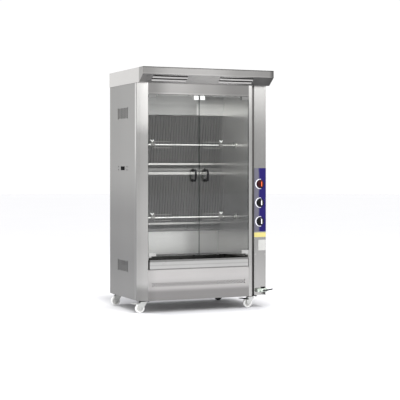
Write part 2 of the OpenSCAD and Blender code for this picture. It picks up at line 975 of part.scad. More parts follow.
// The small cover on the left side, with its screws
module side_cover() {
    front = jamb_slant + return_d;
    middle = front + (body_d - front) / 2;
    z = overall_h * 0.59;
    color("black")
        at_corner() {
            block([-cover_t, middle - cover_w / 2, z - cover_h / 2],
                [0, middle + cover_w / 2, z + cover_h / 2]);
            for (side = [-1, 1], level = [-1, 1]) {
                rod_x(-2, 0, middle + side * cover_screw_y, z + level * cover_screw_z, 8);
            }
        }
}

// One glass pane from its outer edge inwards, for a door hung on its left
module pane() {
    grip_z = [handle_z - handle_leg, handle_z + handle_leg];
    difference() {
        block([0, glass_y, door_low], [door_w, glass_y + glass_t, door_top]);
        block([-1, 0, door_low - 1],
            [notch_w + seat, glass_y + glass_t + 2, door_low + clamp_h + seat]);
        block([-1, 0, door_top - clamp_h - seat],
            [notch_w + seat, glass_y + glass_t + 2, door_top + 1]);
        for (z = grip_z) {
            rod_y(door_w - handle_in, 0, glass_y + glass_t + 2, z, bolt_d + 2 * seat);
        }
    }
}

// A bow handle with its bolts and pads, for a door hung on its left
module bow_handle() {
    x = door_w - handle_in;
    grip_y = glass_y - handle_out;
    back = glass_y + glass_t;
    rod_z(x, grip_y, handle_z - handle_leg + handle_bend, handle_z + handle_leg - handle_bend,
        handle_d);
    for (side = [-1, 1]) {
        leg_z = handle_z + side * handle_leg;
        rod_y(x, grip_y + handle_bend, glass_y, leg_z, handle_d);
        translate([x, grip_y + handle_bend, leg_z - side * handle_bend])
            rotate([0, 90, 0])
                rotate([0, 0, side > 0 ? 180 : 270])
                    rotate_extrude(angle = 90)
                        translate([handle_bend, 0])
                            circle(d = handle_d);
        rod_y(x, glass_y - plate_t, glass_y, leg_z, pad_d);
        rod_y(x, glass_y - 1, back + 5, leg_z, bolt_d);
        rod_y(x, back, back + 5, leg_z, pad_d);
    }
}

// Pivot clamps and catch plate, for a door hung on its left
module fittings() {
    front = glass_y - cheek_t;
    back = glass_y + glass_t + cheek_t;
    for (z = [door_low, door_top - clamp_h]) {
        difference() {
            union() {
                block([0, front, z], [clamp_l, glass_y, z + clamp_h]);
                block([0, glass_y + glass_t, z], [clamp_l, back, z + clamp_h]);
                block([0, front, z], [notch_w, back, z + clamp_h]);
            }
            rod_z(pivot_in, pivot_y, z == door_low ? z - 1 : z + clamp_h - pin_depth,
                z == door_low ? z + pin_depth : z + clamp_h + 1, pivot_d + 2 * fit);
        }
        for (x = [notch_w + 8, clamp_l - 10]) {
            rod_y(x, front - 2, front, z + clamp_h / 2, 9);
        }
    }
    for (y = [glass_y - plate_t, glass_y + glass_t]) {
        block([door_w - catch_w - 6, y, door_top - plate_h - 5],
            [door_w - 6, y + plate_t, door_top - 5]);
    }
}

// Places a left-hung door's piece in the left or in the right half
module left_half() {
    translate([left_door_x, 0, 0])
        children();
}

module right_half() {
    translate([right_door_x, 0, 0])
        mirror([1, 0, 0])
            children();
}

module left_glass() {
    color("lightcyan", 0.3)
        at_corner()
            left_half()
                pane();
}

module right_glass() {
    color("lightcyan", 0.3)
        at_corner()
            right_half()
                pane();
}

module left_handle() {
    color("black")
        at_corner()
            left_half()
                bow_handle();
}

module right_handle() {
    color("black")
        at_corner()
            right_half()
                bow_handle();
}

module left_door_fittings() {
    color("lightgray")
        at_corner()
            left_half()
                fittings();
}

module right_door_fittings() {
    color("lightgray")
        at_corner()
            right_half()
                fittings();
}

module drip_tray() {
    x0 = open_x0 + tray_left_gap;
    x1 = open_x1 - tray_right_gap;
    z0 = apron_top + sheet + seat;
    z1 = z0 + tray_h;
    color("darkgray")
        at_corner() {
            difference() {
                union() {
                    block([x0, 0, z0], [x1, tray_d, z1]);
                    block([x0, -tray_lip, z1 - sheet], [x1, 0, z1]);
                    block([x0, -tray_lip, z1 - lip_h], [x1, sheet - tray_lip, z1]);
                }
                block([x0 + sheet, sheet, z0 + sheet], [x1 - sheet, tray_d - sheet, z1 + 1]);
            }
        }
}

// One spit: a bar with a point at its left end and a drive flat at its right
module spit(z) {
    at_corner() {
        difference() {
            union() {
                rod_x(spit_x0, spit_x1, spit_y, z, spit_d);
                rod_x(open_x1 - bush_t - 5, open_x1 - bush_t - seat, spit_y, z, spit_d + 8);
            }
            for (side = [-1, 1]) {
                translate([spit_x1 - 16, spit_y, z + side * spit_d * 0.9])
                    cube([34, 2 * spit_d, spit_d], center = true);
            }
        }
    }
}

module upper_spit() {
    color("silver")
        spit(upper_spit_z);
}

module lower_spit() {
    color("silver")
        spit(lower_spit_z);
}

// A meat fork with its hub's outer end at x = 0 and its tines along +X
module meat_fork() {
    tip = 24;
    end = hub_l + tine_l;
    difference() {
        union() {
            rod_x(0, hub_l, 0, 0, hub_d);
            block([hub_l - fork_bar_t, -tine_d, -tine_off - tine_d],
                [hub_l, tine_d, tine_off + tine_d]);
            rod_z(screw_in, 0, 0, hub_d / 2 + 4, 2 * screw_d);
        }
        rod_x(-1, hub_l + 1, 0, 0, spit_d + 2 * fit);
        rod_z(screw_in, 0, 0, hub_d / 2 + 5, screw_d + 2 * fit);
    }
    for (side = [-1, 1]) {
        rod_x(hub_l - 1, end - tip, 0, side * tine_off, tine_d);
        translate([end - tip, 0, side * tine_off])
            rotate([0, 90, 0])
                cylinder(d1 = tine_d, d2 = 1, h = tip);
    }
}

// The thumbscrew of a fork, with its wings above the hub
module thumbscrew() {
    low = spit_d / 2 + seat;
    head = hub_d / 2 + 4 + seat;
    wing_z = max(tine_off + 2, head + wing_w / 2);
    translate([screw_in, 0, 0]) {
        rod_z(0, 0, low, wing_z, screw_d);
        rod_z(0, 0, head, wing_z + 4, 2 * screw_d - 2);
        for (side = [-1, 1]) {
            translate([0, 0, wing_z])
                rotate([0, side * wing_lean, 0]) {
                    block([-wing_w / 2, -2, 0], [wing_w / 2, 2, wing_l]);
                    rod_y(0, -2, 2, wing_l, wing_w);
                }
        }
    }
}

// Places a fork's piece at the left or the right end of a spit
module left_end(z) {
    translate([open_x0 + fork_left_in - screw_in, spit_y, z])
        children();
}

module right_end(z) {
    translate([open_x1 - fork_right_in + screw_in, spit_y, z])
        mirror([1, 0, 0])
            children();
}

module upper_left_fork() {
    color("silver")
        at_corner()
            left_end(upper_spit_z)
                meat_fork();
}

module upper_right_fork() {
    color("silver")
        at_corner()
            right_end(upper_spit_z)
                meat_fork();
}

module lower_left_fork() {
    color("silver")
        at_corner()
            left_end(lower_spit_z)
                meat_fork();
}

module lower_right_fork() {
    color("silver")
        at_corner()
            right_end(lower_spit_z)
                meat_fork();
}

module upper_left_thumbscrew() {
    color("silver")
        at_corner()
            left_end(upper_spit_z)
                thumbscrew();
}

module upper_right_thumbscrew() {
    color("silver")
        at_corner()
            right_end(upper_spit_z)
                thumbscrew();
}

module lower_left_thumbscrew() {
    color("silver")
        at_corner()
            left_end(lower_spit_z)
                thumbscrew();
}

module lower_right_thumbscrew() {
    color("silver")
        at_corner()
            right_end(lower_spit_z)
                thumbscrew();
}

// A knob with a raised grip bar and a pointer groove
module knob(z) {
    front = knob_back - knob_t;
    skirt = 6;
    at_corner()
        translate([column_mid, 0, z]) {
            rod_y(0, knob_back - skirt - seat, knob_back - seat, 0, knob_d);
            difference() {
                rod_y(0, front + 4, knob_back - skirt, 0, knob_d - 8);
                for (side = [-1, 1]) {
                    block([side > 0 ? 9 : -knob_d, front, -knob_d],
                        [side > 0 ? knob_d : -9, knob_back - skirt - 4, knob_d]);
                }
            }
            block([-7, front, -knob_d / 2 + 6], [7, front + 6, knob_d / 2 - 6]);
            rod_y(0, knob_back - skirt, column_set + 40, 0, shaft_d);
        }
}

module top_knob() {
    color("darkred")
        knob(knobs_z[0]);
}

module middle_knob() {
    color("black")
        knob(knobs_z[1]);
}

module bottom_knob() {
    color("black")
        knob(knobs_z[2]);
}

// Outline in XZ of one leg of a caster's fork
function leg_outline() = [
    [-crown_r, crown_top], [crown_r, crown_top], [crown_r, crown_low - 6],
    [-trail + 14, axle_z - 12], [-trail - 12, axle_z - 12], [-trail - 14, axle_z + 14],
    [pedal_pin_x - 9, pedal_pin_z + 6]];

module leg(y) {
    translate([0, y, 0])
        rotate([90, 0, 0])
            mirror([0, 0, 1])
                linear_extrude(leg_t)
                    polygon(leg_outline());
}

// A caster's fork with its axle, and the pins of its pedal if it has a brake
module caster_fork(place, braked) {
    color("silver")
        at_corner()
            translate([place.x, place.y, 0]) {
                difference() {
                    union() {
                        rod_z(0, 0, crown_low, crown_top, 2 * crown_r);
                        block([-crown_r, -leg_out, crown_low],
                            [crown_r, leg_out, crown_top]);
                        leg(leg_in);
                        leg(-leg_out);
                    }
                    rod_z(0, 0, crown_low - 1, crown_top + 1, kingpin_d + 2 * fit);
                }
                rod_y(-trail, -leg_out - 4, leg_out + 4, axle_z, axle_d);
                for (side = [-1, 1]) {
                    rod_y(-trail, side * (leg_out + 2) - 2, side * (leg_out + 2) + 2, axle_z,
                        axle_d + 6);
                    if (braked) {
                        rod_y(pedal_pin_x, side * (leg_out + 1) - 4, side * (leg_out + 1) + 4,
                            pedal_pin_z, pedal_pin_d);
                    }
                }
            }
}

// A wheel with a rounded tread and a hub
module wheel(place) {
    half = wheel_w / 2;
    round_r = 5;
    arc = [for (a = [0 : 15 : 90])
        [wheel_d / 2 - round_r + round_r * sin(a), half - round_r + round_r * cos(a)]];
    arc_low = [for (a = [90 : -15 : 0])
        [wheel_d / 2 - round_r + round_r * sin(a), -half + round_r - round_r * cos(a)]];
    bore_r = axle_d / 2 + fit;
    color("gainsboro")
        at_corner()
            translate([place.x - trail, place.y, axle_z])
                rotate([90, 0, 0])
                    rotate_extrude($fn = 64)
                        polygon(concat([[bore_r, half + 1], [axle_d, half + 1], [axle_d + 1, half - 3],
                            [wheel_d / 2 - 11, half - 3], [wheel_d / 2 - 9, half]],
                            arc, arc_low,
                            [[wheel_d / 2 - 9, -half], [wheel_d / 2 - 11, 3 - half],
                            [axle_d + 1, 3 - half], [axle_d, -half - 1], [bore_r, -half - 1]]));
}

// A brake pedal: two arms beside the fork's legs and a tread at their end
module pedal(place) {
    arm_y = leg_out + seat;
    tread_x = -pedal_reach;
    tread_z = pedal_pin_z + 6;
    color("dimgray")
        at_corner()
            translate([place.x, place.y, 0]) {
                difference() {
                    for (side = [-1, 1]) {
                        translate([0, side * (arm_y + 1.5) + 1.5, 0])
                            rotate([90, 0, 0])
                                linear_extrude(3)
                                    polygon([
                                        [pedal_pin_x + 7, pedal_pin_z - 5],
                                        [pedal_pin_x + 7, pedal_pin_z + 6],
                                        [tread_x + 8, tread_z + 4], [tread_x + 8, tread_z],
                                        [pedal_pin_x - 24, pedal_pin_z]]);
                    }
                    rod_y(pedal_pin_x, -leg_out - 10, leg_out + 10, pedal_pin_z,
                        pedal_pin_d + 2 * fit);
                }
                block([tread_x, -arm_y - 3, tread_z],
                    [pedal_pin_x - 31, arm_y + 3, tread_z + 4]);
            }
}

module front_left_fork() {
    caster_fork(casters[0], true);
}

module front_right_fork() {
    caster_fork(casters[1], true);
}

module rear_left_fork() {
    caster_fork(casters[2], false);
}

module rear_right_fork() {
    caster_fork(casters[3], false);
}

module front_left_wheel() {
    wheel(casters[0]);
}

module front_right_wheel() {
    wheel(casters[1]);
}

module rear_left_wheel() {
    wheel(casters[2]);
}

module rear_right_wheel() {
    wheel(casters[3]);
}

module front_left_pedal() {
    pedal(casters[0]);
}

module front_right_pedal() {
    pedal(casters[1]);
}

base_frame();
caster_plates();
left_side_panel();
right_side_panel();
back_panel();
left_inner_wall();
right_inner_wall();
oven_ceiling();
oven_floor();
flue_header();
lower_back_wall();
upper_burner();
lower_burner();
fat_ledges();
left_jamb();
right_jamb();
valance();
front_apron();
canopy();
control_box();
control_front();
switch_panel();
door_catches();
door_pivots();
spit_bearings();
spit_gearmotors();
gas_manifold();
gas_valve();
side_cover();
left_glass();
left_handle();
left_door_fittings();
right_glass();
right_handle();
right_door_fittings();
drip_tray();
upper_spit();
lower_spit();
upper_left_fork();
upper_right_fork();
lower_left_fork();
lower_right_fork();
upper_left_thumbscrew();
upper_right_thumbscrew();
lower_left_thumbscrew();
lower_right_thumbscrew();
top_knob();
middle_knob();
bottom_knob();
valve_lever();
front_left_fork();
front_right_fork();
rear_left_fork();
rear_right_fork();
front_left_wheel();
front_right_wheel();
rear_left_wheel();
rear_right_wheel();
front_left_pedal();
front_right_pedal();
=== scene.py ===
import math

import bmesh
import bpy
from mathutils import Matrix, Vector


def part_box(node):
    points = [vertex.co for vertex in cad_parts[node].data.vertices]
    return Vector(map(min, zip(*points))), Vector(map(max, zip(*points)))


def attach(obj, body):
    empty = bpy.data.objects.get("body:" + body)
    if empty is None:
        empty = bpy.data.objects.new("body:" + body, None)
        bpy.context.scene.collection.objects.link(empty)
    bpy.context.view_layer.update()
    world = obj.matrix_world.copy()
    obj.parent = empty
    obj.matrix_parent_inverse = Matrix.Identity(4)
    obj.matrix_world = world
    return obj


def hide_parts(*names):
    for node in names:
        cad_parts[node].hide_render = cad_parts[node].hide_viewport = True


bl_info = {
    "name": "Lamb rotisserie looks",
    "version": (1, 0, 0),
    "blender": (4, 5, 0),
    "location": "3D View > Sidebar > Rotisserie",
    "description": "Finishes and fine pieces of a two-spit lamb rotisserie oven",
    "category": "Object",
}

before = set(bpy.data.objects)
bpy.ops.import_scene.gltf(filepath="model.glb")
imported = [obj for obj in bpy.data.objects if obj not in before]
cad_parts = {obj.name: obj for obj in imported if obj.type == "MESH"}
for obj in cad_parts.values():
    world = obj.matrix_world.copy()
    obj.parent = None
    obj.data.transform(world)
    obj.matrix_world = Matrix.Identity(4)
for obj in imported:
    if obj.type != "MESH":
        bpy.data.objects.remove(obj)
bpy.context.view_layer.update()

# Distances are in metres and angles in degrees, but the camera's turn is in radians
MERGE = 0.000005
SMOOTH_ANGLE = 35.0
ROUNDED_EDGE = 0.0012
FRONT, RIGHT, BACK = 0.0, 90.0, 180.0
KNOBS = ("top", "middle", "bottom")
DIAL_START, DIAL_SPAN, DIAL_STEPS = 78.0, 206.0, 26
HANDLE_FOOT = 0.04
CAMERA_PLACE = (-3.68005, -8.6556, 1.1292)
CAMERA_TURN = -0.4103
CAMERA_SHIFT = -0.0819


# Sizes and colours

class RotisserieSteel(bpy.types.PropertyGroup):
    """Colours and grain of the sheet steel; the colours are lit and shaded copies of one
    steel, so their differences are painted light and shade
    """
    front: bpy.props.FloatVectorProperty(
        name="Front", description="Colour of the jambs and the column's front",
        subtype="COLOR", min=0.0, max=1.0, default=(0.47, 0.465, 0.455))
    panel: bpy.props.FloatVectorProperty(
        name="Cross-grained panels", description="Colour of the valance and the canopy",
        subtype="COLOR", min=0.0, max=1.0, default=(0.245, 0.241, 0.236))
    apron: bpy.props.FloatVectorProperty(
        name="Apron", description="Colour of the apron under the doors",
        subtype="COLOR", min=0.0, max=1.0, default=(0.325, 0.317, 0.312))
    cabinet: bpy.props.FloatVectorProperty(
        name="Cabinet", description="Colour of the outer sides and the back",
        subtype="COLOR", min=0.0, max=1.0, default=(0.35, 0.346, 0.339))
    oven: bpy.props.FloatVectorProperty(
        name="Oven", description="Colour of the walls inside the oven",
        subtype="COLOR", min=0.0, max=1.0, default=(0.66, 0.653, 0.635))
    bright: bpy.props.FloatVectorProperty(
        name="Bright sheets", description="Colour of the lower back wall and the tray's rim",
        subtype="COLOR", min=0.0, max=1.0, default=(0.80, 0.795, 0.78))
    ledge: bpy.props.FloatVectorProperty(
        name="Fat ledges", description="Colour of the troughs under the burners",
        subtype="COLOR", min=0.0, max=1.0, default=(0.40, 0.395, 0.385))
    burner: bpy.props.FloatVectorProperty(
        name="Burners", description="Colour of the ribbed radiant plates",
        subtype="COLOR", min=0.0, max=1.0, default=(0.062, 0.061, 0.058))
    grain: bpy.props.FloatProperty(
        name="Grain", description="Width of one line of the brushed grain",
        subtype="DISTANCE", min=0.0002, default=0.0012)


class RotisserieColours(bpy.types.PropertyGroup):
    """Colours of the small pieces"""
    film: bpy.props.FloatVectorProperty(
        name="Panel film", description="Colour of the switch panel",
        subtype="COLOR", min=0.0, max=1.0, default=(0.012, 0.007, 0.10))
    dial: bpy.props.FloatVectorProperty(
        name="Dial marks", description="Colour of the marks round the knobs",
        subtype="COLOR", min=0.0, max=1.0, default=(0.86, 0.86, 0.90))
    black: bpy.props.FloatVectorProperty(
        name="Black mouldings", description="Colour of the handles and the lower knobs",
        subtype="COLOR", min=0.0, max=1.0, default=(0.006, 0.006, 0.007))
    red: bpy.props.FloatVectorProperty(
        name="Top knob", description="Colour of the top knob",
        subtype="COLOR", min=0.0, max=1.0, default=(0.035, 0.005, 0.007))
    orange: bpy.props.FloatVectorProperty(
        name="Top pointer", description="Colour of the top knob's pointer",
        subtype="COLOR", min=0.0, max=1.0, default=(0.85, 0.12, 0.03))
    strip: bpy.props.FloatVectorProperty(
        name="Strip", description="Colour of the plain strip under the switch panel",
        subtype="COLOR", min=0.0, max=1.0, default=(0.58, 0.51, 0.185))
    plate: bpy.props.FloatVectorProperty(
        name="Bare plate", description="Colour of the bare plate on the column",
        subtype="COLOR", min=0.0, max=1.0, default=(0.50, 0.50, 0.485))
    wheel: bpy.props.FloatVectorProperty(
        name="Wheels", description="Colour of the casters' wheels",
        subtype="COLOR", min=0.0, max=1.0, default=(0.90, 0.90, 0.89))
    glass: bpy.props.FloatVectorProperty(
        name="Glass edge", description="Colour that the door glass has at its edges",
        subtype="COLOR", min=0.0, max=1.0, default=(0.03, 0.05, 0.045))


class RotisserieSizes(bpy.types.PropertyGroup):
    """Sizes of the fine pieces"""
    arc_radius: bpy.props.FloatProperty(
        name="Dial radius", description="Middle radius of the arc beside a knob",
        subtype="DISTANCE", min=0.036, max=0.05, default=0.0385)
    arc_width: bpy.props.FloatProperty(
        name="Dial width", description="Widest part of the arc beside a knob",
        subtype="DISTANCE", min=0.002, max=0.014, default=0.009)
    bead: bpy.props.FloatProperty(
        name="Corner bead", description="Width of the bright bead beside the left jamb",
        subtype="DISTANCE", min=0.008, max=0.03, default=0.022)
    handle_radius: bpy.props.FloatProperty(
        name="Handle radius", description="Radius of the door handles' grip",
        subtype="DISTANCE", min=0.005, max=0.009, default=0.0089)
    handle_bend: bpy.props.FloatProperty(
        name="Handle bend", description="Radius of the handles' corners",
        subtype="DISTANCE", min=0.012, max=0.03, default=0.021)
    screw_radius: bpy.props.FloatProperty(
        name="Screw radius", description="Radius of the panel screws' heads",
        subtype="DISTANCE", min=0.002, max=0.006, default=0.0038)


class RotisserieStage(bpy.types.PropertyGroup):
    """Light and camera"""
    lens: bpy.props.FloatProperty(
        name="Lens", description="Focal length of the camera",
        subtype="DISTANCE_CAMERA", min=20.0, default=104.29)
    bank: bpy.props.FloatProperty(
        name="Front bank", description="Power of the long soft box in front, above the doors",
        subtype="POWER", min=0.0, default=62.0)
    top: bpy.props.FloatProperty(
        name="Top light", description="Power of the soft box over the oven",
        subtype="POWER", min=0.0, default=190.0)
    sky: bpy.props.FloatProperty(
        name="Sky", description="Strength of the light from all round",
        min=0.0, default=1.0)


# Sockets as numbers, and nodes

class Wire:
    """A socket that takes part in sums and products"""

    def __init__(self, shader, socket):
        self.shader = shader
        self.socket = socket

    def maths(self, operation, *values):
        return self.shader.node("ShaderNodeMath", {"operation": operation},
                                dict(enumerate(values)))

    def __add__(self, other):
        return self.maths("ADD", self, other)

    def __radd__(self, other):
        return self.maths("ADD", other, self)

    def __sub__(self, other):
        return self.maths("SUBTRACT", self, other)

    def __rsub__(self, other):
        return self.maths("SUBTRACT", other, self)

    def __mul__(self, other):
        return self.maths("MULTIPLY", self, other)

    def __rmul__(self, other):
        return self.maths("MULTIPLY", other, self)

    def __pow__(self, other):
        return self.maths("POWER", self, other)

    def __neg__(self):
        return self.maths("MULTIPLY", self, -1.0)

    def __abs__(self):
        return self.maths("ABSOLUTE", self)

    def above(self, edge, softness=0.0):
        """0 below an edge and 1 above it, with a step as soft as is asked"""
        if softness == 0.0:
            return self.maths("GREATER_THAN", self, edge)
        return self.shader.node(
            "ShaderNodeMapRange", {"interpolation_type": "SMOOTHSTEP"},
            {"Value": self, "From Min": edge - softness, "From Max": edge + softness,
             "To Min": 0.0, "To Max": 1.0})


class Shader:
    """The node tree of a material or a world, made one node at a time"""

    def __init__(self, owner):
        owner.use_nodes = True
        self.owner = owner
        self.tree = owner.node_tree
        self.tree.nodes.clear()
        self.place = None

    def node(self, kind, settings=None, values=None, out=0):
        """Makes a node: first its settings, then the values or links of its sockets"""
        made = self.tree.nodes.new(kind)
        for key, value in (settings or {}).items():
            if key == "stops":
                self.set_stops(made.color_ramp.elements, value)
            else:
                setattr(made, key, value)
        for key, value in (values or {}).items():
            socket = made.inputs[key]
            if isinstance(value, Wire):
                self.tree.links.new(value.socket, socket)
            else:
                socket.default_value = value
        return Wire(self, made.outputs[out]) if len(made.outputs) else None

    def set_stops(self, elements, stops):
        """Gives a ramp its (place, brightness) stops"""
        while len(elements) < len(stops):
            elements.new(0.5)
        for element, (place, brightness) in zip(elements, stops):
            element.position = place
            element.color = (brightness, brightness, brightness, 1.0)

    def position(self):
        if self.place is None:
            self.place = self.node("ShaderNodeTexCoord", out="Object")
        return self.place

    def axis(self, letter):
        return self.node("ShaderNodeSeparateXYZ", None, {0: self.position()}, out=letter)

    def facing(self, letter):
        """How far a face looks along one of the object's own axes, also when it is turned"""
        normal = self.node("ShaderNodeNewGeometry", out="True Normal")
        own = self.node("ShaderNodeVectorTransform", {
            "vector_type": "NORMAL", "convert_from": "WORLD", "convert_to": "OBJECT"},
            {0: normal})
        return self.node("ShaderNodeSeparateXYZ", None, {0: own}, out=letter)

    def bands(self, letter, first, *steps):
        """A number that changes along an axis, in steps of (place, softness, change)"""
        place = self.axis(letter)
        value = first
        for edge, softness, change in steps:
            value = value + place.above(edge, softness) * change
        return value

    def noise(self, scale, detail=2.0, roughness=0.5, stretch=(1.0, 1.0, 1.0), shift=0.0):
        moved = self.node("ShaderNodeMapping", None,
                          {"Vector": self.position(), "Scale": stretch,
                           "Location": (shift, shift * 0.7, shift * 1.3)})
        return self.node("ShaderNodeTexNoise", None,
                         {"Vector": moved, "Scale": scale, "Detail": detail,
                          "Roughness": roughness})

    def mix(self, share, first, second):
        return self.node("ShaderNodeMix", {"data_type": "RGBA"},
                         {0: share, 6: first, 7: second}, out=2)

    def bump(self, height, strength, distance, **normal):
        return self.node("ShaderNodeBump", None, {
            "Height": height, "Strength": strength, "Distance": distance, **normal})

    def surface(self, values):
        """Ends the material in one principled shader and returns it"""
        bsdf = self.node("ShaderNodeBsdfPrincipled", None, values)
        self.node("ShaderNodeOutputMaterial", None, {"Surface": bsdf})
        return self.owner


def new_shader(name):
    return Shader(bpy.data.materials.new(name))


def rgba(colour, factor=1.0):
    """A colour as a socket wants it, lighter or darker by a factor"""
    return tuple(min(1.0, part * factor) for part in colour) + (1.0,)


def brushed_steel(name, colour, along, rough, patch=0.05, metal=1.0, shade=None):
    """Sheet steel with a brushed grain along one axis, faint streaks and handling marks, and
    the painted light and shade that a piece's shade function gives
    """
    shader = new_shader(name)
    across = 1.0 / bpy.context.scene.rotisserie_steel.grain
    run = across / 90.0
    fine = (run, across, across) if along == "X" else (across, across, run)
    coarse = tuple(part / 14.0 for part in fine)
    lines = shader.noise(1.0, 2.0, 0.6, fine)
    streaks = shader.noise(1.0, 3.0, 0.55, coarse, 3.1)
    patches = shader.noise(1.7, 2.0, 0.5, shift=2.0)
    smudges = shader.noise(9.0, 4.0, 0.65, shift=5.0)
    tone = (1.0 + (lines - 0.5) * 0.12 + (streaks - 0.5) * 0.07
            + (patches - 0.5) * (2.0 * patch) + (smudges - 0.5) * 0.03)
    # shade paints light and shade into the colour: painted highlights, painted reflections
    # and painted shade, one pattern for each piece
    if shade is not None:
        tone = tone * shade(shader)
    base = shader.node("ShaderNodeVectorMath", {"operation": "SCALE"},
                       {0: tuple(colour), "Scale": tone})
    rounded = shader.node("ShaderNodeBevel", {"samples": 4}, {"Radius": ROUNDED_EDGE})
    roughness = rough + (streaks - 0.5) * 0.03 + (smudges - 0.5) * 0.04
    return shader.surface({
        "Base Color": base, "Metallic": metal, "Roughness": roughness,
        "Normal": shader.bump(lines, 0.05, 0.0002, Normal=rounded)})


def moulded(name, colour, rough=0.4, coat=0.0, grit=900.0):
    """A moulding with a faint orange-peel skin"""
    shader = new_shader(name)
    skin = shader.noise(grit, 2.0, 0.5)
    worn = shader.noise(60.0, 4.0, 0.6, shift=2.0)
    base = shader.mix(worn.above(0.62, 0.08) * 0.25, rgba(colour), rgba(colour, 1.9))
    return shader.surface({
        "Base Color": base, "Roughness": rough + (worn - 0.5) * 0.2,
        "Specular IOR Level": 0.2, "Coat Weight": coat, "Coat Roughness": 0.08,
        "Normal": shader.bump(skin, 0.12, 0.0002)})


def bright_metal(name, colour, rough, metal=1.0):
    """Polished or plated metal with fine scratches and dull spots"""
    shader = new_shader(name)
    scratches = shader.noise(420.0, 3.0, 0.7, (1.0, 0.12, 0.35))
    dull = shader.noise(38.0, 4.0, 0.6, shift=4.0)
    base = shader.mix(dull.above(0.58, 0.1) * 0.5, rgba(colour), rgba(colour, 0.72))
    return shader.surface({
        "Base Color": base, "Metallic": metal,
        "Roughness": rough + (dull - 0.5) * 0.2 + (scratches - 0.5) * 0.1,
        "Normal": shader.bump(scratches, 0.1, 0.0002)})


def printed(name, colour, rough=0.35, shine=0.3):
    """Ink or film with a fine even skin"""
    shader = new_shader(name)
    skin = shader.noise(1400.0, 1.0, 0.5)
    soil = shader.noise(45.0, 3.0, 0.6, shift=1.0)
    base = shader.mix(soil.above(0.55, 0.2) * 0.2, rgba(colour), rgba(colour, 0.8))
    return shader.surface({
        "Base Color": base, "Roughness": rough + (soil - 0.5) * 0.15,
        "Specular IOR Level": shine, "Normal": shader.bump(skin, 0.08, 0.0001)})


# Mesh helpers

def new_object(name, data):
    made = bpy.data.objects.new(name, data)
    bpy.context.collection.objects.link(made)
    return made


def mesh_object(bm, name, material):
    """Makes an object of a bmesh"""
    mesh = bpy.data.meshes.new(name)
    bm.to_mesh(mesh)
    bm.free()
    mesh.materials.append(material)
    return new_object(name, mesh)


def finish_mesh(bm, name, material, body, replaces=()):
    """Makes a piece of a bmesh, smooth where its faces meet softly, on one body"""
    bmesh.ops.remove_doubles(bm, verts=bm.verts, dist=MERGE)
    bmesh.ops.recalc_face_normals(bm, faces=bm.faces)
    for face in bm.faces:
        face.smooth = True
    limit = math.radians(SMOOTH_ANGLE)
    for edge in bm.edges:
        edge.smooth = len(edge.link_faces) == 2 and edge.calc_face_angle(0.0) < limit
    piece = mesh_object(bm, name, material)
    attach(piece, body)
    if replaces:
        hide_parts(*replaces)


def lathe(bm, profile, matrix, steps):
    """Turns a profile of (radius, height) points about local Z"""
    verts = [bm.verts.new((radius, 0.0, height)) for radius, height in profile]
    edges = [bm.edges.new(pair) for pair in zip(verts, verts[1:])]
    before = set(bm.verts) - set(verts)
    bmesh.ops.spin(bm, geom=verts + edges, cent=(0, 0, 0), axis=(0, 0, 1), angle=math.tau,
                   steps=steps, use_merge=True, use_duplicate=False)
    turned_verts = [v for v in bm.verts if v not in before]
    bmesh.ops.remove_doubles(bm, verts=turned_verts, dist=MERGE)
    bmesh.ops.transform(bm, matrix=matrix, verts=[v for v in bm.verts if v not in before])


def round_edges(bm, edges, radius, segments):
    bmesh.ops.bevel(bm, geom=list(edges), offset=radius, offset_type="OFFSET",
                    segments=segments, profile=0.5, affect="EDGES", material=-1)


def slab(bm, size, matrix=Matrix.Identity(4), radius=0.0, segments=1):
    """A box about the local origin, its edges rounded where a radius is given"""
    made = bmesh.ops.create_cube(bm, size=1.0, matrix=Matrix.Diagonal((*size, 1.0)))["verts"]
    if radius > 0.0:
        before = set(bm.verts) - set(made)
        round_edges(bm, {e for v in made for e in v.link_edges}, radius, segments)
        made = [v for v in bm.verts if v not in before]
    bmesh.ops.transform(bm, matrix=matrix, verts=made)
    return made


def extrude(bm, face):
    """Joins a face to a copy of itself by walls and returns the copy, still in its place"""
    grown = bmesh.ops.extrude_face_region(bm, geom=[face])["geom"]
    return next(part for part in grown if isinstance(part, bmesh.types.BMFace))


def sweep(bm, path, radius, sides):
    """A round bar along a path of points in the local YZ plane"""
    ring = bmesh.ops.create_circle(bm, cap_ends=True, radius=radius, segments=sides)["verts"]
    points = [Vector(point) for point in path]

    def aim(index):
        run = points[min(len(points) - 1, index + 1)] - points[max(0, index - 1)]
        return Matrix.Translation(points[index]) @ Matrix.Rotation(
            math.atan2(-run.y, run.z), 4, "X")

    now = aim(0)
    bmesh.ops.transform(bm, matrix=now, verts=ring)
    face = ring[0].link_faces[0]
    for index in range(1, len(points)):
        face = extrude(bm, face)
        following = aim(index)
        bmesh.ops.transform(bm, matrix=following @ now.inverted(), verts=list(face.verts))
        now = following


def bend(start, corner, end, radius, steps=8):
    """Points of a round corner between two straight runs"""
    first = (Vector(start) - Vector(corner)).normalized()
    second = (Vector(end) - Vector(corner)).normalized()
    centre = Vector(corner) + (first + second) * radius
    low = -second * radius
    high = -first * radius
    return [centre + low * math.cos(t) + high * math.sin(t)
            for t in (math.pi / 2 * step / steps for step in range(steps + 1))]


def shifted(x, y, z):
    return Matrix.Translation((x, y, z))


def turned(degrees, axis):
    return Matrix.Rotation(math.radians(degrees), 4, axis)


def on_wall(wall, x, y, z):
    """Local Z out of the front, right or back wall, local Y up"""
    return shifted(x, y, z) @ turned(wall, "Z") @ turned(90.0, "X")


def spread(low, high, count):
    """Evenly spaced places, both ends among them"""
    return [low + (high - low) * step / (count - 1) for step in range(count)]


def corners(node):
    """A CAD node's lowest and highest corners"""
    return [Vector(corner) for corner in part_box(node)]


def middle(node):
    low, high = corners(node)
    return (low + high) / 2


def dress(material, *nodes):
    """Gives CAD nodes a material"""
    for node in nodes:
        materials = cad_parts[node].data.materials
        materials.clear()
        materials.append(material)


# Pieces

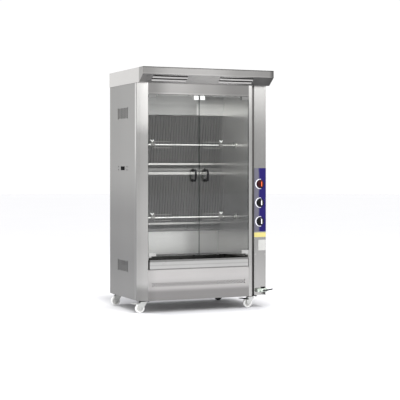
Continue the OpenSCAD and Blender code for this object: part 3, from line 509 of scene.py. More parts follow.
class ROTISSERIE_OT_cabinet(bpy.types.Operator):
    """Finishes the outer sheets, the jambs, the canopy and the control column"""
    bl_idname = "rotisserie.cabinet"
    bl_label = "Cabinet finish"

    def execute(self, context):
        scene = context.scene
        steel = scene.rotisserie_steel
        dress(brushed_steel("cabinet_side_steel", steel.cabinet, "Z", 0.3, shade=self.sides),
              "left_side_panel", "right_side_panel", "back_panel", "control_box")
        for name, node, colour, along, rough, shade in (
                ("left_jamb_steel", "left_jamb", steel.front, "Z", 0.24, self.left_jamb),
                ("right_jamb_steel", "right_jamb", steel.front, "Z", 0.26, self.right_jamb),
                ("column_steel", "control_front", steel.front, "Z", 0.26, self.column),
                ("apron_steel", "front_apron", steel.apron, "X", 0.3, self.apron),
                ("valance_steel", "valance", steel.panel, "X", 0.34, self.valance),
                ("canopy_steel", "canopy", steel.panel, "X", 0.38, self.canopy)):
            dress(brushed_steel(name, colour, along, rough, shade=shade), node)
        dress(brushed_steel("frame_steel", steel.cabinet, "X", 0.42, 0.12), "base_frame")
        dress(printed("black_cover", scene.rotisserie_colours.black, 0.6, 0.02), "side_cover")
        self.bead(scene.rotisserie_sizes.bead, brushed_steel(
            "bead_steel", steel.bright, "Z", 0.3, metal=0.6, shade=self.bead_tone))
        return {"FINISHED"}

    def sides(self, shader):
        """Painted light and shade: darker below and towards the back, with painted shade in
        the groove by the bead and inside the cabinet
        """
        low, high = corners("left_side_panel")
        inward = -(shader.facing("X") * shader.axis("X"))
        # Painted shade on the panels' faces inside the cabinet
        inner = inward.above(0.2) * (1.0 - shader.axis("X").above(high.x + 0.02))
        # A painted shadow in the groove by the bead
        groove = (1.0 - shader.axis("Y").above(low.y + 0.008)) * (
            1.0 - shader.axis("X").above(low.x + 0.003))
        tone = (shader.bands("Z", 0.49, (0.5, 0.15, 0.13), (0.9, 0.2, 0.29))
                * shader.bands("Y", 1.04, (0.1, 0.15, -0.08)))
        return tone * (1.0 - inner * 0.9) * (1.0 - groove * 0.6)

    def left_jamb(self, shader):
        # Painted reflections: a tone that rises and falls with height, and a little darker at
        # the left edge
        left = corners("left_jamb")[0].x
        return (shader.bands("Z", 0.48, (0.2, 0.04, 0.38), (0.6, 0.1, 0.1),
                             (1.0, 0.2, -0.09), (1.43, 0.07, 0.5), (1.65, 0.08, -0.1))
                * shader.bands("X", 0.92, (left + 0.03, 0.02, 0.1)))

    def right_jamb(self, shader):
        # Painted reflections: a tone that changes with height
        return shader.bands("Z", 0.86, (0.6, 0.1, 0.05), (1.2, 0.2, -0.12), (1.6, 0.1, 0.06))

    def column(self, shader):
        # Painted reflections: a tone that changes with height
        return shader.bands("Z", 0.78, (0.4, 0.1, -0.04), (0.9, 0.2, -0.07),
                            (1.5, 0.15, 0.13))

    def apron(self, shader):
        """Painted light: brighter towards the tray and darker at the left end, with painted
        shade behind the rows of holes
        """
        left = corners("front_apron")[0].x
        behind = shader.facing("Y").above(0.5)
        tone = shader.bands("Z", 0.7, (0.175, 0.02, 0.56), (0.245, 0.03, 0.2))
        return (tone * (1.0 - behind * 0.92)
                * shader.bands("X", 0.9, (left + 0.05, 0.03, 0.1)))

    def valance(self, shader):
        # A painted highlight along the lower hem, and a painted sheen across the panel
        hem = 1.0 - shader.axis("Z").above(corners("valance")[0].z + 0.012)
        tone = shader.bands("X", 0.62, (-0.36, 0.08, 0.42), (-0.1, 0.12, -0.22),
                            (0.14, 0.12, -0.25))
        return tone * (1.0 + hem * 0.2)

    def canopy(self, shader):
        """Painted light: bright sides and louvre lips, painted sheens on the front and the
        slope, and painted shade inside
        """
        low, high = corners("canopy")
        across, out, up = (shader.facing(letter) for letter in "XYZ")
        forward = (-out).above(0.85)
        lips = forward * shader.axis("Y").above(low.y + 0.004)
        front = forward - lips
        slope = (-up).above(0.3) * (-out).above(0.3) * (1.0 - forward)
        side = abs(across).above(0.7)
        rest = 1.0 - forward - slope - side
        height = shader.axis("Z")
        # A darker line along the top edge, and a painted highlight low on the front
        rim = height.above(high.z - 0.006) * 0.75
        hem = (1.0 - height.above(low.z + 0.068)) * 0.15
        # Painted sheens on the front, the slope and the sides
        face = shader.bands("X", 0.62, (-0.42, 0.12, 0.33), (-0.2, 0.1, 0.07),
                            (0.13, 0.15, -0.31), (0.4, 0.1, -0.06), (0.535, 0.018, -0.38))
        dull = shader.bands("X", 0.87, (-0.3, 0.2, 0.7), (0.3, 0.12, -1.25),
                            (0.52, 0.05, -0.1))
        ends = (shader.bands("Y", 1.52, (low.y + 0.085, 0.01, 1.2))
                * shader.bands("X", 1.0, (0.0, 0.1, -0.6)))
        # Painted shade on the faces inside the canopy and its louvres
        hollow = ((-(across * shader.axis("X"))).above(0.2) + out.above(0.3)
                  * (1.0 - shader.axis("Y").above(high.y - 0.004))
                  + (-up).above(0.9) * height.above(high.z - 0.01)).above(0.5)
        tone = (front * face * (1.0 - rim + hem) + slope * dull + side * ends
                + lips * 1.5 + rest * 1.4)
        return tone * (1.0 - hollow * 0.95)

    def bead_tone(self, shader):
        # Painted reflection: dark low down, bright from the middle up
        return shader.bands("Z", 0.3, (0.95, 0.2, 0.18), (1.2, 0.2, 0.4))

    def bead(self, width, material):
        """A bright half-round bead on the left side, next to the jamb"""
        low, high = corners("left_side_panel")
        inset, clearance, half = 0.008, 0.001, width / 2
        outline = [(0.0, half), (0.0008, half - 0.0006), (0.0018, half / 2), (0.0021, 0.0),
                   (0.0018, -half / 2), (0.0008, 0.0006 - half), (0.0, -half)]
        bm = bmesh.new()
        foot = bm.faces.new([
            bm.verts.new((low.x - out, low.y + inset + half + along, low.z + clearance))
            for out, along in outline])
        bmesh.ops.translate(bm, vec=(0, 0, high.z - low.z - 2 * clearance),
                            verts=list(extrude(bm, foot).verts))
        finish_mesh(bm, "corner_bead", material, "cabinet")


class ROTISSERIE_OT_oven(bpy.types.Operator):
    """Finishes the oven's walls, burners, ledges and drip tray"""
    bl_idname = "rotisserie.oven"
    bl_label = "Oven finish"

    def execute(self, context):
        steel = context.scene.rotisserie_steel
        dress(brushed_steel("oven_wall_steel", steel.oven, "Z", 0.25, 0.1, 0.75, self.walls),
              "left_inner_wall", "right_inner_wall")
        dress(brushed_steel("oven_sheet_steel", steel.oven, "X", 0.34, 0.1),
              "oven_ceiling", "oven_floor")
        for name, node, colour, rough, patch, shade in (
                ("header_steel", "flue_header", steel.bright, 0.34, 0.1, self.header),
                ("lower_wall_steel", "lower_back_wall", steel.bright, 0.36, 0.08,
                 self.lower_wall),
                ("ledge_steel", "fat_ledges", steel.ledge, 0.26, 0.06, self.ledges),
                ("tray_steel", "drip_tray", steel.bright, 0.28, 0.1, self.tray)):
            dress(brushed_steel(name, colour, "X", rough, patch, shade=shade), node)
        dress(self.plates(steel.burner), "upper_burner", "lower_burner")
        dress(bright_metal("bearing_steel", (0.5, 0.5, 0.48), 0.3), "spit_bearings")
        dress(bright_metal("gearmotor_paint", (0.16, 0.17, 0.18), 0.5, metal=0.3),
              "spit_gearmotors")
        return {"FINISHED"}

    def walls(self, shader):
        """Painted light and shade: darkest round the lower spit, bright above it, painted
        shade on the faces towards the cabinet's side
        """
        outward = (shader.facing("X") * shader.axis("X")).above(0.2)
        tone = shader.bands("Z", 0.82, (0.58, 0.08, -0.47), (0.95, 0.12, 0.34),
                            (1.27, 0.12, 0.68), (1.6, 0.04, -0.32))
        return tone * (1.0 - outward * 0.93)

    def header(self, shader):
        """Painted light: brighter behind the right door, apart from a darker top there"""
        right = shader.axis("X").above(0.135, 0.006)
        left = shader.bands("Z", 0.46, (1.6, 0.015, 0.06), (1.65, 0.02, 0.27))
        return left + right * shader.bands("Z", 0.41, (1.6, 0.015, 0.08),
                                           (1.655, 0.015, -0.57), (1.69, 0.02, -0.33))

    def lower_wall(self, shader):
        """Painted light: brighter towards the tray and the left"""
        return (shader.bands("Z", 1.17, (0.42, 0.05, 0.08), (0.5, 0.06, -0.24))
                * shader.bands("X", 1.0, (0.1, 0.06, -0.27)))

    def ledges(self, shader):
        """Painted highlights on the hems and band, and painted shade in the troughs between
        them
        """
        return shader.bands("Z", 0.25, (0.6, 0.002, 0.15), (0.652, 0.002, 0.9),
                            (0.9, 0.05, -0.66), (1.0905, 0.0015, -0.42), (1.0985, 0.002, 0.5),
                            (1.143, 0.002, 0.25))

    def tray(self, shader):
        """Painted light and shade: a bright front with painted shade along its foot, in a
        thin line below the lip, on the lip and inside the tray behind it
        """
        low, high = corners("drip_tray")
        inside = shader.axis("Y").above(low.y + 0.022)
        rim = shader.bands("Z", 0.26, (low.z + 0.006, 0.003, 0.3),
                           (high.z - 0.045, 0.002, -0.1), (high.z - 0.038, 0.002, 0.1),
                           (high.z - 0.015, 0.002, -0.29))
        return rim * (1.0 - inside * 0.66)

    def plates(self, colour):
        """Radiant plates, dulled and tinted by heat"""
        shader = new_shader("burner_plates")
        lines = shader.noise(1.0, 2.0, 0.6, (700.0, 700.0, 12.0))
        scale = shader.noise(22.0, 4.0, 0.6, shift=1.0)
        heat = shader.noise(3.0, 2.0, 0.5, (1.0, 1.0, 2.0), 2.0)
        base = shader.mix(scale.above(0.5, 0.25) * 0.35, rgba(colour), rgba(colour, 0.75))
        base = shader.mix(heat.above(0.55, 0.15) * 0.3, base, (0.06, 0.054, 0.048, 1.0))
        return shader.surface({
            "Base Color": base, "Metallic": 0.85,
            "Roughness": 0.42 + (scale - 0.5) * 0.2,
            "Normal": shader.bump(lines + scale * 0.5, 0.2, 0.0003)})


class ROTISSERIE_OT_doors(bpy.types.Operator):
    """Finishes the door glass, its clamps and the catches"""
    bl_idname = "rotisserie.doors"
    bl_label = "Door glass"

    def execute(self, context):
        colours = context.scene.rotisserie_colours
        dress(self.glass(colours.glass), "left_glass", "right_glass")
        dress(self.clamps(), "left_door_fittings", "right_door_fittings", "door_pivots")
        dress(bright_metal("catch_metal", (0.76, 0.76, 0.75), 0.3, metal=0.0), "door_catches")
        return {"FINISHED"}

    def clamps(self):
        """Satin clamps, darker in the upper half, with white catch plates at the doors'
        meeting
        """
        shader = new_shader("clamp_metal")
        scratches = shader.noise(420.0, 3.0, 0.7, (1.0, 0.12, 0.35))
        split = (corners("left_glass")[1].x + corners("right_glass")[0].x) / 2
        half_way_up, catch_reach = 1.0, 0.1
        top = shader.axis("Z").above(half_way_up, 0.1)
        upper_dark = top * abs(shader.axis("X") - split).above(catch_reach)
        catch = top - upper_dark
        base = shader.mix(upper_dark, (0.42, 0.42, 0.41, 1.0), (0.16, 0.16, 0.157, 1.0))
        base = shader.mix(catch, base, (0.76, 0.76, 0.75, 1.0))
        return shader.surface({
            "Base Color": base, "Metallic": 0.8 - catch * 0.8,
            "Roughness": 0.45 + (scratches - 0.5) * 0.1,
            "Normal": shader.bump(scratches, 0.1, 0.0002)})

    def glass(self, colour):
        """Clear toughened glass, dark and greenish at its edges, with faint smears"""
        shader = new_shader("door_glass")
        edge = (1.0 - abs(shader.facing("Y"))).above(0.3, 0.1)
        smear = shader.noise(7.0, 4.0, 0.65, (1.0, 1.0, 0.4))
        ior = 1.5
        # A ray that leaves the pane meets the inverse index, or it would be mirrored
        leaving = shader.node("ShaderNodeNewGeometry", out="Backfacing")
        sheen = (shader.node("ShaderNodeFresnel", None, {"IOR": ior}) * (1.0 - leaving)
                 + shader.node("ShaderNodeFresnel", None, {"IOR": 1.0 / ior}) * leaving)
        share = sheen * 1.3 + edge * 0.75 + smear.above(0.55, 0.2) * 0.01
        clear = shader.node("ShaderNodeBsdfTransparent", None,
                            {"Color": (0.985, 0.99, 0.986, 1.0)})
        gloss = shader.node("ShaderNodeBsdfPrincipled", None, {
            "Base Color": shader.mix(edge, (0.95, 0.95, 0.95, 1.0), rgba(colour)),
            "Metallic": 1.0 - edge, "Roughness": 0.02 + smear * 0.02})
        glass = shader.node("ShaderNodeMixShader", None, {0: share, 1: clear, 2: gloss})
        shader.node("ShaderNodeOutputMaterial", None, {"Surface": glass})
        return shader.owner


class ROTISSERIE_OT_handles(bpy.types.Operator):
    """Makes the two bow handles of the doors"""
    bl_idname = "rotisserie.handles"
    bl_label = "Door handles"

    def execute(self, context):
        sizes = context.scene.rotisserie_sizes
        material = moulded("handle_black", context.scene.rotisserie_colours.black, 0.5)
        off_glass, straight, clearance = 0.001, 0.012, 0.0001
        for side in ("left", "right"):
            node = side + "_handle"
            low, high = corners(node)
            glass_low, glass_high = corners(side + "_glass")
            x = (low.x + high.x) / 2
            grip = low.y + sizes.handle_radius + clearance
            foot_high = (low.z + high.z) / 2 + HANDLE_FOOT
            foot_low = (low.z + high.z) / 2 - HANDLE_FOOT
            front = glass_low.y
            feet = [Vector(point) for point in (
                (x, front - off_glass, foot_low), (x, grip, foot_low),
                (x, grip, foot_high), (x, front - off_glass, foot_high))]
            path = [feet[0], (x, front - straight, foot_low)]
            path += bend(*feet[:3], sizes.handle_bend)
            path += [(x, grip, foot_low + (foot_high - foot_low) * share)
                     for share in (0.4, 0.5, 0.6)]
            path += bend(*feet[1:], sizes.handle_bend)
            path += [(x, front - straight, foot_high), feet[3]]
            bm = bmesh.new()
            sweep(bm, path, sizes.handle_radius, 28)
            for z in (foot_low, foot_high):
                lathe(bm, [(0.0, 0.0), (0.0125, 0.0), (0.013, 0.001), (0.012, 0.004),
                           (0.009, 0.0055), (0.0, 0.0055)],
                      on_wall(FRONT, x, front, z), 32)
                lathe(bm, [(0.0, -0.0005), (0.0125, -0.0005), (0.013, 0.001), (0.0125, 0.004),
                           (0.008, 0.005), (0.0, 0.005)],
                      on_wall(BACK, x, glass_high.y, z), 32)
            finish_mesh(bm, node + "_bow", material, side + "_door",
                        (node,))
        return {"FINISHED"}


class ROTISSERIE_OT_knobs(bpy.types.Operator):
    """Makes the three knobs with their grip bars and pointers"""
    bl_idname = "rotisserie.knobs"
    bl_label = "Knobs"

    def execute(self, context):
        colours = context.scene.rotisserie_colours
        black = moulded("knob_black", colours.black)
        red = moulded("knob_red", colours.red)
        white = printed("pointer_white", colours.dial)
        orange = printed("pointer_orange", colours.orange)
        paints = {"top": (red, orange, "red_knob"), "middle": (black, white, "black_knob"),
                  "bottom": (black, white, "black_knob")}
        for place in KNOBS:
            self.knob(place + "_knob", *paints[place])
        return {"FINISHED"}

    def knob(self, node, cap_paint, mark_paint, slot):
        """A round skirt with a grip bar that narrows outwards and carries the pointer"""
        low, high = corners(node)
        panel = corners("switch_panel")[0].y
        radius = (high.x - low.x) / 2
        depth = panel - low.y
        skirt, taper = 0.0105, 0.22
        at = on_wall(FRONT, (low.x + high.x) / 2, panel, (low.z + high.z) / 2)
        bm = bmesh.new()
        lathe(bm, [(0.0, 0.0006), (radius - 0.002, 0.0006), (radius, 0.0026),
                   (radius, 0.0045), (radius - 0.0016, 0.0066), (radius - 0.0055, 0.0074),
                   (radius - 0.0065, 0.0095), (radius - 0.008, 0.0125),
                   (radius - 0.011, 0.0138), (0.0, 0.0145)], at, 64)
        bar = slab(bm, (0.0165, 2.0 * radius - 0.011, depth - skirt), radius=0.0032,
                   segments=3)
        for vert in bar:
            vert.co.x *= 1.0 - (vert.co.z / (depth - skirt) + 0.5) * taper
        bmesh.ops.transform(bm, matrix=at @ shifted(0, 0, (depth - skirt) / 2 + skirt),
                            verts=bar)
        finish_mesh(bm, node + "_cap", cap_paint, node, (node,))
        bm = bmesh.new()
        slab(bm, (0.0088, 2.0 * radius - 0.024, 0.0012), at @ shifted(0, 0, depth), 0.0004)
        slab(bm, (0.0062, 0.0016, 0.012), at @ shifted(0, radius - 0.0054, depth - 0.0078),
             0.0004)
        finish_mesh(bm, node + "_pointer", mark_paint, node)


class ROTISSERIE_OT_panel(bpy.types.Operator):
    """Finishes the switch panel and makes its dial marks, strip and bare plate"""
    bl_idname = "rotisserie.panel"
    bl_label = "Switch panel"

    def execute(self, context):
        colours = context.scene.rotisserie_colours
        dress(self.film(colours.film), "switch_panel")
        self.marks(context.scene.rotisserie_sizes, printed("dial_ink", colours.dial))
        self.strip(printed("strip_yellow", colours.strip, 0.42))
        self.plate(bright_metal("plate_metal", colours.plate, 0.45, 0.3))
        return {"FINISHED"}

    def film(self, colour):
        """Blue-violet film, faded and rubbed towards the oven, dark round the knobs"""
        shader = new_shader("panel_film")
        low, high = corners("switch_panel")
        across = shader.node("ShaderNodeMapRange", None, {
            "Value": shader.axis("X"), "From Min": low.x, "From Max": high.x})
        skin = shader.noise(1300.0, 1.0)
        soil = shader.noise(14.0, 4.0, 0.6, shift=3.0)
        rings, ring_radius = 0.0, 0.0375
        for place in KNOBS:
            centre = middle(place + "_knob")
            reach = ((shader.axis("X") - centre.x) ** 2.0
                     + (shader.axis("Z") - centre.z) ** 2.0) ** 0.5
            rings = rings + (1.0 - reach.above(ring_radius))
        faded = (1.0 - (across + (soil - 0.5) * 0.16).above(0.4, 0.08)) * 0.85
        base = shader.mix(faded * (1.0 - rings), rgba(colour), (0.14, 0.138, 0.16, 1.0))
        base = shader.mix(rings * 0.7, base, rgba(colour, 0.25))
        return shader.surface({
            "Base Color": base, "Roughness": 0.5 + (soil - 0.5) * 0.2,
            "Specular IOR Level": 0.15, "Normal": shader.bump(skin, 0.08, 0.0001)})

    def marks(self, sizes, ink):
        """Beside each knob an arc that is widest in its middle"""
        panel = corners("switch_panel")[0].y
        length = sizes.arc_radius * math.radians(DIAL_SPAN) / DIAL_STEPS * 1.03
        for place in KNOBS:
            centre = middle(place + "_knob")
            at = on_wall(FRONT, centre.x, panel, centre.z)
            bm = bmesh.new()
            for step in range(DIAL_STEPS):
                share = (step + 0.5) / DIAL_STEPS
                width = sizes.arc_width * (0.35 + 0.65 * math.sin(math.pi * share))
                slab(bm, (width, length, 0.0003),
                     at @ turned(DIAL_START + DIAL_SPAN * share, "Z")
                     @ shifted(sizes.arc_radius, 0, 0.00015))
            finish_mesh(bm, place + "_dial", ink, "cabinet")

    def strip(self, material):
        """A plain strip across the column, under the switch panel"""
        low, high = corners("control_front")
        height, drop, thick = 0.037, 0.0265, 0.0006
        bm = bmesh.new()
        slab(bm, (high.x - low.x - 0.001, height, thick),
             on_wall(FRONT, (low.x + high.x) / 2, low.y - thick / 2,
                     corners("switch_panel")[0].z - drop), 0.0002)
        finish_mesh(bm, "plain_strip", material, "cabinet")

    def plate(self, material):
        """A bare plate low on the column, held by four rivets"""
        low, high = corners("control_front")
        width, height, thick = 0.066, 0.086, 0.0008
        edge, margin, above_floor = 0.0015, 0.004, 0.5
        at = on_wall(FRONT, high.x - width / 2 - edge, low.y - thick / 2, above_floor)
        bm = bmesh.new()
        slab(bm, (width, height, thick), at, 0.0003)
        for x in (margin - width / 2, width / 2 - margin):
            for y in (margin - height / 2, height / 2 - margin):
                lathe(bm, [(0.0, 0.0014), (0.0009, 0.0012), (0.0015, 0.0004), (0.0, 0.0004)],
                      at @ shifted(x, y, 0), 12)
        finish_mesh(bm, "bare_plate", material, "cabinet")


class ROTISSERIE_OT_spits(bpy.types.Operator):
    """Finishes the spits and forks and makes the wing screws"""
    bl_idname = "rotisserie.spits"
    bl_label = "Spits and forks"

    def execute(self, context):
        dress(bright_metal("spit_steel", (0.66, 0.66, 0.64), 0.2), "upper_spit", "lower_spit")
        places = ("upper_left", "upper_right", "lower_left", "lower_right")
        dress(self.forks(), *(place + "_fork" for place in places))
        cast = bright_metal("wing_screw_metal", (0.96, 0.96, 0.95), 0.4, 0.0)
        for place in places:
            self.wing_screw(place + "_thumbscrew", cast)
        return {"FINISHED"}

    def forks(self):
        """Steel that the heat has dulled in patches"""
        shader = new_shader("fork_steel")
        scratches = shader.noise(420.0, 3.0, 0.7, (0.12, 1.0, 1.0))
        scale = shader.noise(60.0, 4.0, 0.6, shift=6.0)
        base = shader.mix(scale.above(0.5, 0.2) * 0.5, (0.22, 0.215, 0.205, 1.0),
                          (0.12, 0.115, 0.11, 1.0))
        return shader.surface({
            "Base Color": base, "Metallic": 0.9, "Roughness": 0.38 + (scale - 0.5) * 0.2,
            "Normal": shader.bump(scratches, 0.1, 0.0002)})

    def wing_screw(self, node, material):
        """A pin with a waist and two flat ears that spread in a V"""
        low, high = corners(node)
        at = shifted((low.x + high.x) / 2, (low.y + high.y) / 2, low.z)
        ear_rise, ear_size, ear_reach, lean = 0.0192, (0.0088, 0.0204, 0.0036), 0.0112, 42.0
        root = high.z - low.z - ear_rise
        bm = bmesh.new()
        lathe(bm, [(0.0, 0.0), (0.0024, 0.0), (0.003, 0.0008), (0.003, root - 0.0046),
                   (0.0052, root - 0.004), (0.0052, root - 0.002), (0.0042, root + 0.0025),
                   (0.0036, root + 0.004), (0.0, root + 0.0046)], at, 24)
        for side in (-1.0, 1.0):
            ear = bmesh.ops.create_circle(bm, cap_ends=True, radius=0.5, segments=24)["verts"]
            top = list(extrude(bm, ear[0].link_faces[0]).verts)
            bmesh.ops.translate(bm, vec=(0, 0, 1.0), verts=top)
            rims = {e for v in ear + top for e in v.link_edges
                    if len(e.link_faces) == 2 and e.calc_face_angle(0.0) > 1.0}
            shape = (at @ shifted(0, 0, root) @ turned(side * lean, "Y")
                     @ shifted(0, 0, ear_reach) @ turned(90.0, "X")
                     @ Matrix.Diagonal((*ear_size, 1.0)) @ shifted(0, 0, -0.5))
            bmesh.ops.transform(bm, matrix=shape, verts=ear + top)
            round_edges(bm, rims, 0.001, 2)
        finish_mesh(bm, node + "_wings", material, node, (node,))


class ROTISSERIE_OT_casters(bpy.types.Operator):
    """Finishes the casters and makes their wheels and axle nuts"""
    bl_idname = "rotisserie.casters"
    bl_label = "Casters"

    def execute(self, context):
        colours = context.scene.rotisserie_colours
        zinc = bright_metal("caster_zinc", (0.56, 0.565, 0.55), 0.3, 0.7)
        tread = moulded("wheel_tread", colours.wheel, 0.5, grit=500.0)
        hub = moulded("wheel_hub", (0.66, 0.66, 0.64), 0.45)
        black = moulded("pedal_black", colours.black)
        # The rear right wheel is black: painted shade, as it stands deep in the cabinet's
        # shadow
        wheels = {"front_left": (tread, hub), "front_right": (tread, hub),
                  "rear_left": (tread, hub), "rear_right": (black, black)}
        # The caster plates are near black: painted shade, as they sit under the cabinet
        dress(bright_metal("caster_plate_painted_shade", (0.05, 0.05, 0.05), 0.5), "caster_plates")
        dress(zinc, "front_left_pedal", *(corner + "_fork" for corner in wheels))
        dress(black, "front_right_pedal")
        for corner, (tread_paint, hub_paint) in wheels.items():
            self.wheel(corner, tread_paint, hub_paint)
            self.nuts(corner, zinc)
        return {"FINISHED"}

    def wheel(self, corner, tread, hub):
        """A crowned tread round a dished hub with six ribs on each side"""
        node = corner + "_wheel"
        low, high = corners(node)
        centre = (low + high) / 2
        radius = (high.z - low.z) / 2
        rim = radius - 0.0095
        half = (high.y - low.y) / 2 - 0.001
        at = on_wall(FRONT, *centre)
        crown = [(rim, -half + 0.002), (rim + 0.001, -half), (radius - 0.005, -half),
                 (radius - 0.0022, -half + 0.0012), (radius - 0.0006, -half + 0.004)]
        bm = bmesh.new()
        lathe(bm, crown + [(radius, 0.0)] + [(r, -h) for r, h in reversed(crown)]
              + [crown[0]], at, 72)
        finish_mesh(bm, node + "_tread", tread, node, (node,))
        side = [(0.0056, half + 0.0006), (0.0095, half + 0.0006), (0.0105, half - 0.001),
                (0.0115, half - 0.0045), (rim - 0.006, half - 0.0045),
                (rim - 0.004, half - 0.001), (rim - 0.0002, half - 0.001)]
        ribs = 6
        bm = bmesh.new()
        lathe(bm, side + [(r, -h) for r, h in reversed(side)] + [side[0]], at, 72)
        for index in range(ribs):
            for face in (-1.0, 1.0):
                slab(bm, (0.0125, 0.003, 0.005), at @ turned(360.0 * index / ribs, "Z")
                     @ shifted(0.0165, 0, face * (half - 0.0042)), 0.0008)
        finish_mesh(bm, node + "_hub", hub, node)

    def nuts(self, corner, zinc):
        """The axle's nuts, one on each cheek of the fork"""
        fork = corner + "_fork"
        low, high = corners(fork)
        axle = middle(corner + "_wheel")
        bm = bmesh.new()
        for wall, y in ((FRONT, low.y), (BACK, high.y)):
            lathe(bm, [(0.0, -0.002), (0.0072, -0.002), (0.0078, -0.0014), (0.0078, 0.0),
                       (0.0, 0.0)],
                  on_wall(wall, axle.x, y, axle.z) @ shifted(0, 0, -0.0002), 6)
        finish_mesh(bm, fork + "_nuts", zinc, corner + "_caster")


class ROTISSERIE_OT_gas(bpy.types.Operator):
    """Finishes the gas pipe, the valve and its lever"""
    bl_idname = "rotisserie.gas"
    bl_label = "Gas valve"

    def execute(self, context):
        dress(bright_metal("manifold_pipe", (0.42, 0.35, 0.2), 0.36), "gas_manifold")
        dress(bright_metal("valve_nickel", (0.60, 0.66, 0.60), 0.26), "gas_valve")
        dress(moulded("lever_dip", (0.035, 0.035, 0.038), coat=0.1), "valve_lever")
        return {"FINISHED"}


class ROTISSERIE_OT_screws(bpy.types.Operator):
    """Makes the screws that hold the outer panels"""
    bl_idname = "rotisserie.screws"
    bl_label = "Panel screws"

    def execute(self, context):
        radius = context.scene.rotisserie_sizes.screw_radius
        bm = bmesh.new()
        low, high = corners("control_front")
        for x in (low.x + 0.009, high.x - 0.009):
            for z in (high.z - 0.03, low.z + 0.33):
                self.screw(bm, on_wall(FRONT, x, low.y, z), radius)
        low, high = corners("back_panel")
        for z in spread(low.z + 0.04, high.z - 0.04, 9):
            for x in (low.x + 0.016, high.x - 0.016):
                self.screw(bm, on_wall(BACK, x, high.y, z), radius)
        low, high = corners("control_box")
        for z in spread(low.z + 0.05, high.z - 0.05, 7):
            for y in (low.y + 0.02, high.y - 0.02):
                self.screw(bm, on_wall(RIGHT, high.x, y, z), radius)
        finish_mesh(bm, "panel_screws", bright_metal("screw_steel", (0.55, 0.55, 0.53), 0.28),
                    "cabinet")
        return {"FINISHED"}

    def screw(self, bm, matrix, radius):
        """A pan head with a raised cross, a few dozen faces"""
        lathe(bm, [(0.0, radius * 0.45), (radius * 0.5, radius * 0.42),
                   (radius * 0.9, radius * 0.25), (radius, 0.0), (0.0, 0.0)], matrix, 12)
        long, narrow, thick = radius * 1.3, radius * 0.22, radius * 0.1
        for size in ((long, narrow, thick), (narrow, long, thick)):
            slab(bm, size, matrix @ shifted(0, 0, radius * 0.45))


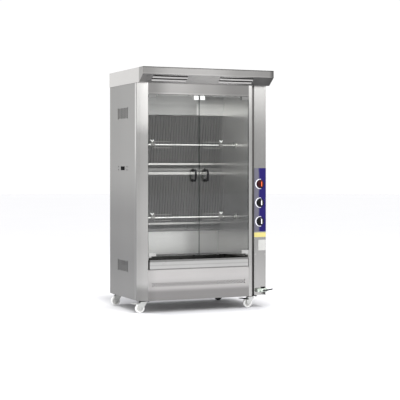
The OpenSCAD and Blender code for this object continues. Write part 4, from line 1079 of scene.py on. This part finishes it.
class ROTISSERIE_OT_stage(bpy.types.Operator):
    """Makes the floor, the room's light, two lamps and the camera"""
    bl_idname = "rotisserie.stage"
    bl_label = "Stage"

    def execute(self, context):
        stage = context.scene.rotisserie_stage
        self.floor()
        self.sky(context.scene, stage.sky)
        self.light("front_bank", (-0.4, -2.9, 2.6), (-0.4, 0.0, 1.8), (6.4, 1.5), stage.bank)
        self.light("top_light", (0.0, -0.8, 4.6), (0.0, -0.4, 0.0), (4.0, 4.0), stage.top)
        self.camera(context.scene, stage.lens)
        return {"FINISHED"}

    def floor(self):
        """A pale floor, a little worn, with a painted soft grey shadow round the oven's
        footprint
        """
        shader = new_shader("floor_white")
        cloud = shader.noise(0.8, 2.0, 0.4)
        x, y = shader.axis("X"), shader.axis("Y")
        # The painted shadow's left, right, front and back edges, each with its softness
        painted_shadow = (x.above(-0.5, 0.16) * (1.0 - x.above(0.6, 0.25))
                * y.above(-0.52, 0.36) * (1.0 - y.above(1.0, 0.3)))
        under = (1.0 - abs(x).above(0.5, 0.1)) * (1.0 - abs(y).above(0.24, 0.08))
        white = shader.mix(cloud, (0.79, 0.79, 0.81, 1.0), (0.81, 0.81, 0.82, 1.0))
        material = shader.surface({
            "Base Color": shader.mix(painted_shadow * (1.0 - under) * 0.55, white,
                                     (0.2, 0.2, 0.225, 1.0)),
            "Roughness": 0.9})
        bm = bmesh.new()
        bmesh.ops.create_circle(bm, cap_ends=True, radius=40.0, segments=64)
        floor = mesh_object(bm, "floor", material)

    def sky(self, scene, strength):
        """A white studio room, a little greyer in front at eye level, brighter overhead"""
        scene.world = bpy.data.worlds.new("studio")
        shader = Shader(scene.world)
        height = self.rise(shader, "Z", -0.2, 0.8)
        behind = self.rise(shader, "Y", -0.1, 0.4)
        front = shader.node("ShaderNodeValToRGB", {"stops": (
            (0.0, 0.95), (0.18, 0.8), (0.23, 0.8), (0.4, 0.95), (0.6, 1.3), (1.0, 1.4))},
            {0: height})
        background = shader.node("ShaderNodeBackground", None, {
            "Color": shader.mix(behind, front, (1.03, 1.03, 1.03, 1.0)),
            "Strength": strength})
        shader.node("ShaderNodeOutputWorld", None, {"Surface": background})
        scene.view_settings.view_transform = "Standard"
        scene.view_settings.look = "None"

    def rise(self, shader, letter, low, high):
        """0 to 1 between two places along an axis of the sky"""
        direction = shader.node("ShaderNodeTexCoord", out="Generated")
        place = shader.node("ShaderNodeSeparateXYZ", None, {0: direction}, out=letter)
        return shader.node("ShaderNodeMapRange", None,
                           {"Value": place, "From Min": low, "From Max": high})

    def light(self, name, place, target, size, power):
        data = bpy.data.lights.new(name, "AREA")
        data.shape = "RECTANGLE"
        data.size, data.size_y = size
        data.energy = power
        lamp = new_object(name, data)
        lamp.location = place
        lamp.rotation_euler = (Vector(target) - Vector(place)).to_track_quat(
            "-Z", "Y").to_euler()
        lamp.visible_camera = False

    def camera(self, scene, lens):
        data = bpy.data.cameras.new("camera")
        data.lens = lens
        data.sensor_width = 36.0
        data.shift_y = CAMERA_SHIFT
        data.clip_end = 200.0
        scene.camera = new_object("camera", data)
        scene.camera.location = CAMERA_PLACE
        scene.camera.rotation_euler = (math.radians(90.0), 0.0, CAMERA_TURN)


class ROTISSERIE_PT_sidebar(bpy.types.Panel):
    """Shows the settings, and a button for each group of pieces"""
    bl_idname = "ROTISSERIE_PT_sidebar"
    bl_label = "Lamb rotisserie"
    bl_space_type = "VIEW_3D"
    bl_region_type = "UI"
    bl_category = "Rotisserie"

    def draw(self, context):
        layout = self.layout
        for group in GROUPS:
            box = layout.box()
            values = getattr(context.scene, group)
            for name in values.__annotations__:
                box.prop(values, name)
        for operator in OPERATORS:
            layout.operator(operator.bl_idname)


GROUPS = {"rotisserie_steel": RotisserieSteel, "rotisserie_colours": RotisserieColours,
          "rotisserie_sizes": RotisserieSizes, "rotisserie_stage": RotisserieStage}
OPERATORS = [
    ROTISSERIE_OT_stage, ROTISSERIE_OT_cabinet, ROTISSERIE_OT_oven, ROTISSERIE_OT_doors,
    ROTISSERIE_OT_handles, ROTISSERIE_OT_knobs, ROTISSERIE_OT_panel, ROTISSERIE_OT_spits,
    ROTISSERIE_OT_casters, ROTISSERIE_OT_gas, ROTISSERIE_OT_screws]


def register():
    for name, group in GROUPS.items():
        bpy.utils.register_class(group)
        setattr(bpy.types.Scene, name, bpy.props.PointerProperty(type=group))
    for operator in OPERATORS:
        bpy.utils.register_class(operator)
    bpy.utils.register_class(ROTISSERIE_PT_sidebar)


def unregister():
    bpy.utils.unregister_class(ROTISSERIE_PT_sidebar)
    for operator in reversed(OPERATORS):
        bpy.utils.unregister_class(operator)
    for name, group in reversed(GROUPS.items()):
        delattr(bpy.types.Scene, name)
        bpy.utils.unregister_class(group)


def main():
    register()
    for operator in OPERATORS:
        getattr(bpy.ops.rotisserie, operator.bl_idname.split(".")[1])()


if __name__ == "__main__":
    main()
